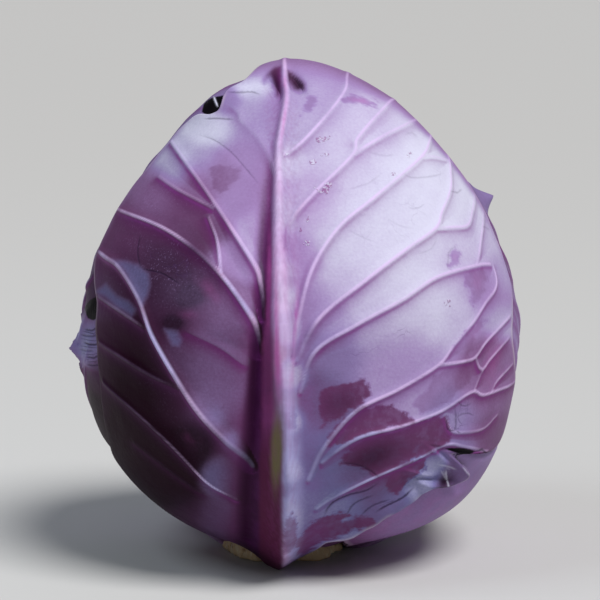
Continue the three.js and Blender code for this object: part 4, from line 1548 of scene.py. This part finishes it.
def paint_front(mesh):
    places = read_places(mesh)
    seen = seen_from_front(places)
    across, up = seen.T
    facing = smooth_step(0.05, 0.3, -way_out(places)[:, 1])
    bloom, blue = dabbed(seen)
    patch = smooth_step(-2.0, 1.4, deepest(seen, BLUE_PATCHES, 3))
    bloom, blue = np.maximum(bloom, 0.33 * patch), np.maximum(blue, patch)
    rubbed, worn = deepest(seen, RUBBED_PATCHES, 4), deepest(seen, WORN_PATCHES, 2.5)
    groove, flank, magenta = beside_rib(across, up)
    pit_shade = smooth_step(-0.9, 1.2, deepest(seen, PIT_SHADES, 2)) * smooth_step(-9, -3, across)
    dent = np.exp(-2 * ellipse_reach(seen, *DENT_SHADE) ** 2)
    # The groove, the hollows at the midrib's tip and the dent are painted shade: they darken the flesh and
    # take the bloom away.
    painted_hollow_shade = np.maximum.reduce([groove, 0.9 * pit_shade, 0.8 * dent])
    nick = sum(np.exp(-((np.hypot(across - x, up - y) / r) ** 2)) for x, y, r in NICKS)
    # These blobs are partly dark flesh and partly painted shade.
    dark = soft_blobs(seen, SHADE_AND_DARK_FLESH_BLOBS)
    vein_shade = (0.9 - 0.2 * smooth_step(12, 45, across)) * (1 - 0.7 * dark)
    crease_side, crease = drawn(seen, CREASES)
    torn_side, torn = drawn(seen, TORN_EDGES)
    paint(
        mesh,
        bloom=(bloom * facing + 0.35 * (1 - facing)) * (1 - 0.95 * painted_hollow_shade) * (1 - 0.75 * flank),
        blue=blue * facing,
        rub=np.where(facing > 0.5, np.maximum(rubbed, worn), UNRUBBED),
        wear=np.where(rubbed > np.maximum(worn, -2.5), 1.0, 0.36),
        shade=np.maximum(dark, painted_hollow_shade) * facing,
        olive=soft_blobs(seen, OLIVE_BLOBS) * facing,
        maroon=flank * (1 - magenta) * facing,
        magenta=np.maximum(flank * magenta, soft_blobs(seen, MAGENTA_BLOBS)) * facing,
        nick=nick * facing,
        net=soft_blobs(seen, NET_BLOBS) * facing,
        fleck=soft_blobs(seen, FLECK_BLOBS) * facing,
        gap=np.where(facing > 0.5, deepest(seen, GAP_SHADOWS, 2), UNRUBBED),
        crease=crease * facing,
        crease_side=crease_side,
        torn=torn * facing,
        torn_side=torn_side,
        rib=smooth_step(8, 4, np.abs(across)) * smooth_step(165, 150, up) * facing,
        vein_shade=vein_shade * (1 - soft_blobs(seen, CALM_BLOBS)) * facing,
    )


# %% [markdown]
# ### The other leaves' paint
#
# The rest of the head is painted by rule: clouds of bloom that follow the leaf's own map, dark
# flesh that is partly painted shade where the front leaf is dark too, less bloom near the floor,
# which is partly painted shade too, and painted shade in dark lines between the pleats of the
# frill at the left edge. The openings between the leaves are painted dark, as shadow.

# %% Paint the other leaves
FRILL_SPOT = (-70, 73, 8, 9, 0)  # an ellipse round the frill


def opening(seen, places):
    """Depth inside the openings between the deeper leaves, which are painted dark as shadow."""
    # They narrow to a point behind the frill, and end where the leaf turns away.
    narrowing = 3 * smooth_step(-22, 2, places[:, 1]) * (places[:, 2] < 110)
    turned = 20 * (0.1 - way_out(places)[:, 1])
    return np.minimum(deepest(seen, [NOTCH_SHADOW, HOLLOW_SHADOW], 2) - narrowing, turned)


def paint_other(mesh, leaf):
    across, along = read_numbers(mesh, "across"), read_numbers(mesh, "along")
    places = read_places(mesh)
    x, y, height = places.T
    seen = seen_from_front(places)
    cloud = np.sin(across / 17 + leaf["azimuth"]) * np.sin(along / 23 + leaf["azimuth"])
    forward = smooth_step(25, -5, y)
    in_sight = smooth_step(10, 4, y)
    # left, deep and low darken the flesh and thin the bloom on the left, at the lower left and near the
    # floor: partly the flesh's own colour, partly painted shade.
    left = smooth_step(20, 60, -x) * forward * smooth_step(130, 90, height)
    deep = smooth_step(18, 8, y) * smooth_step(70, 56, height) * smooth_step(20, 45, -x)
    low = smooth_step(60, 25, height) * forward
    right = low * smooth_step(22, 42, x)
    reddish = smooth_step(16, 5, height) * forward
    frilled = np.exp(-ellipse_reach(seen, *FRILL_SPOT) ** 3) * smooth_step(6, -8, y)
    # The pleats are painted as dark lines of shade between the folds.
    pleat_side, pleat = drawn(seen, PLEATS, 2 * LINE_REACH)
    sliver_side, sliver = drawn(seen, SLIVERS, 2 * LINE_REACH)
    bloom = (0.52 + 0.2 * cloud) * (1 - 0.7 * np.maximum(left, 0.85 * low) * (1 - frilled))
    bloom = (bloom + 0.2 * frilled + 0.18 * right) * (1 - 0.95 * deep)
    bluish = np.maximum.reduce([0.35 + 0.3 * np.sin(along / 31), 0.95 * frilled, 0.45 * right])
    paint(
        mesh,
        light=read_numbers(mesh, "light") * (1 - frilled),
        bloom=bloom,
        blue=bluish * (1 - reddish),
        rub=UNRUBBED,
        wear=1,
        shade=np.maximum(0.2 + 0.6 * left * (1 - frilled), deep),
        olive=0,
        maroon=0.3 * reddish,
        magenta=0.35 * low,
        nick=0,
        net=0.3,
        fleck=0.2 * left,
        gap=opening(seen, places),
        crease=pleat * in_sight,
        crease_side=pleat_side,
        torn=sliver * in_sight,
        torn_side=sliver_side,
        rib=0,
        vein_shade=0.5,
    )


# %% [markdown]
# ## Cutting and finishing a leaf
#
# The knife that cut the stem cut the leaf bases too, so whatever is below the floor goes, and the
# cut is closed with a flat face. Round the stem the blade stops at the stem's side.

# %% Trim and finish
STEM_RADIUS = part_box("cut_stem")[1].x / MM
STEM_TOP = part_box("cut_stem")[1].z / MM
STEM_TAPER = 0.72  # the stem's width at its top, as a share of that at its cut face
STEM_OVERLAP = 0.6  # millimetres that a blade reaches into the stem
print("stem:", round(2 * STEM_RADIUS, 1), "mm across and", round(STEM_TOP, 1), "mm high")


def kept_off_stem(mesh):
    """Moves what would lie inside the stem out to its side."""
    places = read_places(mesh)
    rise = np.clip(places[:, 2] / STEM_TOP, 0, 1)
    least = STEM_RADIUS * (1 + (STEM_TAPER - 1) * rise) - STEM_OVERLAP
    level = np.hypot(places[:, 0], places[:, 1])
    push = np.where(places[:, 2] < STEM_TOP, np.maximum(1, least / np.maximum(level, 0.01)), 1)
    places[:, :2] *= push[:, None]
    mesh.vertices.foreach_set("co", (places * MM).astype(np.float32).ravel())


def cut_level(mesh):
    """Cuts off what is below the floor, and closes the cut."""
    cut = bmesh.new()
    cut.from_mesh(mesh)
    everything = cut.verts[:] + cut.edges[:] + cut.faces[:]
    plane = dict(plane_co=(0, 0, 0), plane_no=(0, 0, 1))
    bmesh.ops.bisect_plane(cut, geom=everything, clear_inner=True, **plane)
    open_edges = [edge for edge in cut.edges if edge.is_boundary]
    bmesh.ops.holes_fill(cut, edges=open_edges, sides=0)
    cut.to_mesh(mesh)
    cut.free()


def finish_leaf(leaf, mesh):
    kept_off_stem(mesh)
    cut_level(mesh)
    mesh.polygons.foreach_set("use_smooth", np.ones(len(mesh.polygons), bool))
    piece = linked(leaf["name"] + "_blade", mesh)
    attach(piece, "root")
    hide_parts(leaf["name"])
    triangles = sum(len(p.vertices) - 2 for p in mesh.polygons)
    print(leaf["name"], triangles, "triangles,", len(mesh.vertices), "points")


# %% [markdown]
# ## The front leaf
#
# Its edge isn't flat: it waves a little all round, the lower right is rolled outwards, the torn
# part beside it is crumpled, and at the upper left it stands off the leaf below. That is the
# lift. The blade's points are crowded at the midrib and at the torn edge, where small shapes are.

# %% Lift of the front leaf
FRONT = LEAVES[0]
FRONT_GRID = (300, 285)  # squares across and along
LOWEST_LIFT = -0.7  # deeper, the leaf would cut into the next one
ROLLED = (298, 19)  # turn of the rolled edge, and half its width, in degrees
CRUMPLED = (317, 8)
ROLL_RISE, ROLL_DIP = 1.9, 0.6
STANDING_OFF = 3.6


def wavy(turn, seed, waves=((5, 0.4), (9, 0.35), (17, 0.25))):
    """Waves round the edge of a leaf: each is how many there are, and how high."""
    phases = np.random.default_rng(seed).uniform(0, 2 * math.pi, len(waves))
    return sum(size * np.sin(count * turn + phase) for (count, size), phase in zip(waves, phases))


def bump_at(directions, azimuth, rise, size, power=2.0):
    """1 in a direction, falling to nothing size degrees from it."""
    away = np.degrees(np.arccos(np.clip(directions @ direction_of(azimuth, rise), -1, 1)))
    return np.exp(-((away / size) ** power))


def near_turn(turn, middle, half_width):
    return np.exp(-(((turn - middle) / half_width) ** 4))


def front_lift(directions, share):
    _, across, along = on_leaf_map(FRONT, directions)
    turn = np.degrees(np.arctan2(along, across)) % 360
    lift = smooth_step(0.86, 1.0, share) * (0.25 + 0.4 * wavy(np.radians(turn), 3))
    dip = ROLL_DIP * np.exp(-(((share - 0.88) / 0.04) ** 2))
    lift += near_turn(turn, *ROLLED) * (ROLL_RISE * smooth_step(0.9, 1.0, share) - dip)
    crumple = 1.1 * np.sin(np.radians(turn) * 47 + share * 9) + 0.9 * np.sin(share * 41)
    lift += near_turn(turn, *CRUMPLED) * smooth_step(0.7, 0.95, share) * crumple
    lift += STANDING_OFF * bump_at(directions, -57, 68, 6) * smooth_step(0.84, 1, share)
    return np.maximum(lift, LOWEST_LIFT)


# %% Make the front leaf
front_spots = ([(0, 0.3, 0.5), (0.7, 0.12, 0.5)], [(-0.8, 0.15, 0.5)])
front_blade = blade_mesh(FRONT, [], *FRONT_GRID, *front_spots, front_lift)
front_lines = front_veins(FRONT, front_blade)
front_plan = plan_mesh("front veins", front_lines)
front_settings = {"Vein count": len(front_lines), "Buckle": 0.9 * MM, "Skin": leaf_skin("front leaf skin")}
front_mesh = veined("front_leaf_blade", front_blade, front_plan, front_settings)
paint_front(front_mesh)
finish_leaf(FRONT, front_mesh)

# %% [markdown]
# ## The other leaves
#
# The leaves round the sides and the back have the same build. Their side veins leave the midrib
# at a slant, bend towards the tip and fork once or twice, by a rule with a fixed seed.

# %% Veins by rule
SIDE_VEINS = 7  # on each side of the midrib
JOINING = 1.6  # degrees between veins that grow together
WANDER = 0.12  # degrees that a vein strays by chance, at each degree of its way
LEAST_WAY = 8  # degrees that a vein grows before it may join another
MOST_WAY = 200
FORKS_AT = (16, 34)  # degrees along a vein
FORK_ANGLE = 0.5
FORK_SHARE = 0.7  # how wide and high a fork is, as a share of its vein
VEIN_BEND = 0.007  # radians at each degree of its way


def ruled_veins(leaf, seed):
    """The midrib, its side veins and their forks, as plan_mesh wants them."""
    random = np.random.default_rng(seed)

    def line_on_map(across, along):
        return on_egg(off_leaf_map(leaf, np.array(across), np.array(along)))

    tip, base = leaf["reaches"][180], leaf["reaches"][540]
    along = np.linspace(-0.97 * base, 0.93 * tip, 150)
    across = 1.5 * np.sin(along / 40 + seed)
    toward_tip = np.linspace(0, 1, len(along))
    rib = line_on_map(across, along)
    narrowing = 1 - toward_tip
    sizes = [6 * narrowing**1.3 + 1.2, 6 * narrowing**0.9 + 0.6, 0 * along, 1.4 + 0.5 * toward_tip]
    veins = [(rib, *sizes, np.ones(len(along)))]

    grown, forks = [np.stack([across, along], axis=1)], []

    def grow(place, angle, bend, width, rise, depth):
        """Goes on until the edge, or until it joins another vein."""
        line = [place]
        for step in range(MOST_WAY):
            angle += bend
            place = place + [math.sin(angle), math.cos(angle)] + random.normal(0, WANDER, 2)
            line.append(place)
            nearest = min(np.hypot(*(other - place).T).min() for other in grown)
            share = on_leaf_map(leaf, off_leaf_map(leaf, place[:1], place[1:]))[0][0]
            if share > 0.96 or (step > LEAST_WAY and nearest < JOINING):
                break
            if depth and step in FORKS_AT:
                turned = angle + FORK_ANGLE * np.sign(random.normal())
                sizes = FORK_SHARE * width, FORK_SHARE * rise
                forks.append((place, turned, -bend, *sizes, depth - 1))
        grown.append(np.array(line[:-3] or line))
        if len(line) > 4:
            veins.append(side_vein(line_on_map(*np.array(line).T), width, rise, rise))

    for side in (-1, 1):
        for index in range(SIDE_VEINS):
            share = (index + 0.5 + 0.25 * side) / SIDE_VEINS
            start = np.array([0.0, -0.8 * base + share * 0.75 * (base + tip)])
            angle = side * (0.42 + 0.3 * share)
            grow(start, angle, side * VEIN_BEND, 1.5 - 0.5 * share, 1.5 - 0.7 * share, 2)
    while forks:
        grow(*forks.pop(0))
    return veins


# %% [markdown]
# ### Frill and tip
#
# Two of these leaves show more than their veins. The left leaf has a frill, a fold of pleats
# that stands out at the left, and it sinks away under the front leaf's upper left edge. The right
# leaf has a small tip that stands up at the upper right.

# %% Lift of the other leaves
SINKING = 5.0  # millimetres
TIP_HEIGHT = 7.5
# How far the frill stands out of the leaf, in millimetres, at heights over the floor.
FRILL = [(52, 0), (57, 0.3), (62, 0.9), (65, 1.9), (67, 1.4), (69, 2.6), (71.5, 4.8), (74.5, 2.8),
         (77, 1.4), (80, 0.4), (83.5, 1.0), (86, -0.6), (90, -0.8), (96, 0)]


def frill(directions):
    """A fold of the left leaf that stands out in pleats."""
    azimuth = np.degrees(np.arctan2(directions[:, 0], -directions[:, 1]))
    height = on_egg(directions)[:, 2]
    pleats = np.sin(height * 2.4) * smooth_step(60, 66, height) * smooth_step(82, 76, height)
    crest = np.exp(-np.abs((azimuth + 88 + 0.5 * pleats) / 2.6) ** 1.4)
    return crest * (np.interp(height, *zip(*FRILL)) + 0.15 * pleats)


def other_lift(leaf, seed):
    def lift(directions, share):
        _, across, along = on_leaf_map(leaf, directions)
        turn = np.arctan2(along, across)
        raised = smooth_step(0.88, 1.0, share) * (0.1 + 0.45 * wavy(turn, seed))
        if leaf["name"] == "left_leaf":
            raised += frill(directions) - SINKING * bump_at(directions, -58, 68, 5)
        if leaf["name"] == "right_leaf":
            raised += TIP_HEIGHT * bump_at(directions, 104, 33, 3.4, 1.2)
        return raised

    return lift


# %% [markdown]
# ### All the other leaves
#
# One loop makes them, from the outside inwards. A leaf that shows much of itself gets the finer
# grid. Each leaf gets a skin of its own, so that its finish can be changed alone.

# %% Make the other leaves
OUTER_LEAVES = ("right_leaf", "left_leaf", "back_leaf")
OUTER_GRID, INNER_GRID = (210, 195), (108, 102)
RIB_SPOT = (0, 0.25, 0.5)
# Where the points are crowded, across and along: at the frill, and at the tip.
SPOTS = {
    "left_leaf": ([(0.36, 0.08, 2.5)], [(-0.1, 0.2, 0.8)]),
    "right_leaf": ([(-0.14, 0.05, 1.5)], [(0.36, 0.05, 1.5)]),
}

for number, leaf in enumerate(LEAVES[1:], start=1):
    name = leaf["name"]
    outer = name in OUTER_LEAVES
    column_spots, row_spots = SPOTS.get(name, ([], []))
    grid = OUTER_GRID if outer else INNER_GRID
    spots = [RIB_SPOT] + column_spots, row_spots
    blade = blade_mesh(leaf, LEAVES[:number], *grid, *spots, other_lift(leaf, number))
    lines = ruled_veins(leaf, number)
    plan = plan_mesh(name + " veins", lines)
    skin = leaf_skin(name + " skin")
    settings = {"Vein count": len(lines), "Buckle": 1.0 * MM, "Buckle seed": number * 3.7, "Skin": skin}
    mesh = veined(name, blade, plan, settings)
    paint_other(mesh, leaf)
    finish_leaf(leaf, mesh)

# %% [markdown]
# ## The cut stem
#
# The knife went through the stem just under the lowest leaves. The cut face is pale and woody with
# a brown rim, and round it stand the stubs of leaves that were trimmed off. The stem is a lathe
# shape whose radius is larger where a stub is.

# %% Shape of the stem
STUBS = [(-35, 0.9), (38, 1.0), (95, 0.7), (150, 0.9), (-155, 0.8), (-95, 0.7)]  # azimuth, size
STUB_REACH = 2.2
STUB_HEIGHT = 4.5
STEM_SIDES = 180
# Share of the radius, and height in millimetres
STEM_RINGS = [(0.0, 0.0), (0.55, 0.0), (0.88, 0.0), (0.97, 0.25), (1.0, 1.0), (0.99, 3.0), (0.93, 8.0),
              (0.84, 16.0), (0.76, 24.0), (0.5, 25.6), (0.0, 26.0)]


def stub_reach(azimuth, height):
    """Millimetres that the stubs add to the stem's radius."""
    total = np.zeros_like(azimuth)
    for middle, size in STUBS:
        away = (azimuth - middle + 180) % 360 - 180
        total += size * np.exp(-((away / 17) ** 4))
    return STUB_REACH * total * np.exp(-((height / STUB_HEIGHT) ** 2))


def stem_mesh():
    degrees = np.arange(STEM_SIDES) * 360 / STEM_SIDES
    turns = np.radians(degrees)
    points, faces = [], []
    for share, height in STEM_RINGS:
        level = height + 0.25 * share * np.sin(turns * 7) * (height > 0)
        radius = share * (STEM_RADIUS + stub_reach(degrees, height) + 0.3 * np.sin(turns * 23))
        points.append(np.stack([radius * np.sin(turns), -radius * np.cos(turns), level], axis=1))
    for ring in range(len(STEM_RINGS) - 1):
        first = ring * STEM_SIDES
        for i in range(STEM_SIDES):
            j = (i + 1) % STEM_SIDES
            faces.append((first + i, first + j, first + STEM_SIDES + j, first + STEM_SIDES + i))
    mesh = bpy.data.meshes.new("cut stem")
    mesh.from_pydata(np.concatenate(points) * MM, [], faces)
    # The first and last ring are single points, so their doubles are merged.
    merged = bmesh.new()
    merged.from_mesh(mesh)
    bmesh.ops.remove_doubles(merged, verts=merged.verts, dist=0.001 * MM)
    bmesh.ops.recalc_face_normals(merged, faces=merged.faces)
    merged.to_mesh(mesh)
    merged.free()
    return mesh


# %% [markdown]
# ### Cut wood
#
# The pith in the middle is greenish, the wood round it paler, and the rim has browned in the
# air. Those three are rings by the distance from the stem's axis, which noise makes uneven.
# Brown stains and pale fibres lie over them.

# %% The stem's material
PITH_GREEN = srgb(216, 210, 176)
WOOD_PALE = srgb(236, 228, 200)
WOOD_RIM = srgb(206, 178, 138)
WOOD_STAIN = srgb(124, 88, 58)
WOOD_FIBRE = srgb(238, 230, 214)


def stem_wood():
    wood, tree, shader, place = bare_material("stem wood")
    x, y, _ = node(tree, "ShaderNodeSeparateXYZ", {0: place}).outputs
    off_axis = plus(tree, calc(tree, "POWER", x, 2.0), calc(tree, "POWER", y, 2.0))
    mottle, fibres = grain(tree, place, 260), grain(tree, place, 900, stretch=(1, 1, 0.15))
    edge = plus(tree, calc(tree, "SQRT", off_axis), around(tree, mottle, 6 * MM))
    radius = STEM_RADIUS * MM
    colour = mixed(tree, eased(tree, edge, 0.45 * radius, 0.6 * radius), PITH_GREEN, WOOD_PALE)
    colour = mixed(tree, eased(tree, edge, 0.88 * radius, 1.02 * radius), colour, WOOD_RIM)
    stain = times(tree, eased(tree, mottle, 0.54, 0.68), 0.7)
    colour = mixed(tree, stain, colour, WOOD_STAIN)
    colour = mixed(tree, eased(tree, fibres, 0.55, 0.7, 0.0, 0.4), colour, WOOD_FIBRE)
    tree.links.new(colour, shader.inputs["Base Color"])
    shader.inputs["Roughness"].default_value = 0.75
    height = plus(tree, times(tree, fibres, 0.6), mottle)
    bumped(tree, shader, height, 0.7, 0.8 * MM)
    return wood


stem = linked("cut_stem_wood", stem_mesh())
stem.data.materials.append(stem_wood())
stem.data.polygons.foreach_set("use_smooth", np.ones(len(stem.data.polygons), bool))
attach(stem, "root")
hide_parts("cut_stem")
print("cut_stem", len(stem.data.polygons), "faces")

# %% [markdown]
# ## The heart
#
# Under the loose leaves the head is a tight ball of small leaves pressed round the core. Its shape
# from CAD is right as it is, so it only needs a surface: paler plum flesh that light has hardly
# reached, the edges of leaves that wrap round it, and a fan of thin veins.

# %% The heart's surface
HEART_PLUM, HEART_LILAC, HEART_PALE = srgb(122, 62, 122), srgb(168, 118, 172), srgb(222, 200, 226)


def heart_flesh():
    flesh, tree, shader, place = bare_material("heart flesh")
    clouds, fine = grain(tree, place, 40), grain(tree, place, 900)
    inputs = {"Vector": place, "Scale": 9.0, "Distortion": 5.0, "Detail": 2.0, "Detail Scale": 0.8}
    wrapped = node(tree, "ShaderNodeTexWave", inputs, wave_profile="SAW").outputs["Fac"]
    veins = eased(tree, cell_walls(tree, place, 95.0), 0.0, 0.06, 1.0, 0.0)
    colour = mixed(tree, eased(tree, clouds, 0.35, 0.65), HEART_PLUM, HEART_LILAC)
    colour = mixed(tree, eased(tree, wrapped, 0.8, 1.0, 0.0, 0.6), colour, HEART_PALE)
    colour = mixed(tree, times(tree, veins, 0.4), colour, HEART_PALE)
    tree.links.new(colour, shader.inputs["Base Color"])
    tree.links.new(eased(tree, fine, 0.3, 0.7, 0.38, 0.5), shader.inputs["Roughness"])
    shader.inputs["Specular IOR Level"].default_value = 0.3
    height = plus(tree, times(tree, veins, 0.5), times(tree, fine, 0.15), wrapped)
    bumped(tree, shader, height, 0.5, 0.8 * MM)
    return flesh


heart_surface = heart_flesh()
for material_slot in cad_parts["heart"].material_slots:
    material_slot.material = heart_surface
print("heart surface on", len(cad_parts["heart"].material_slots), "material slot")
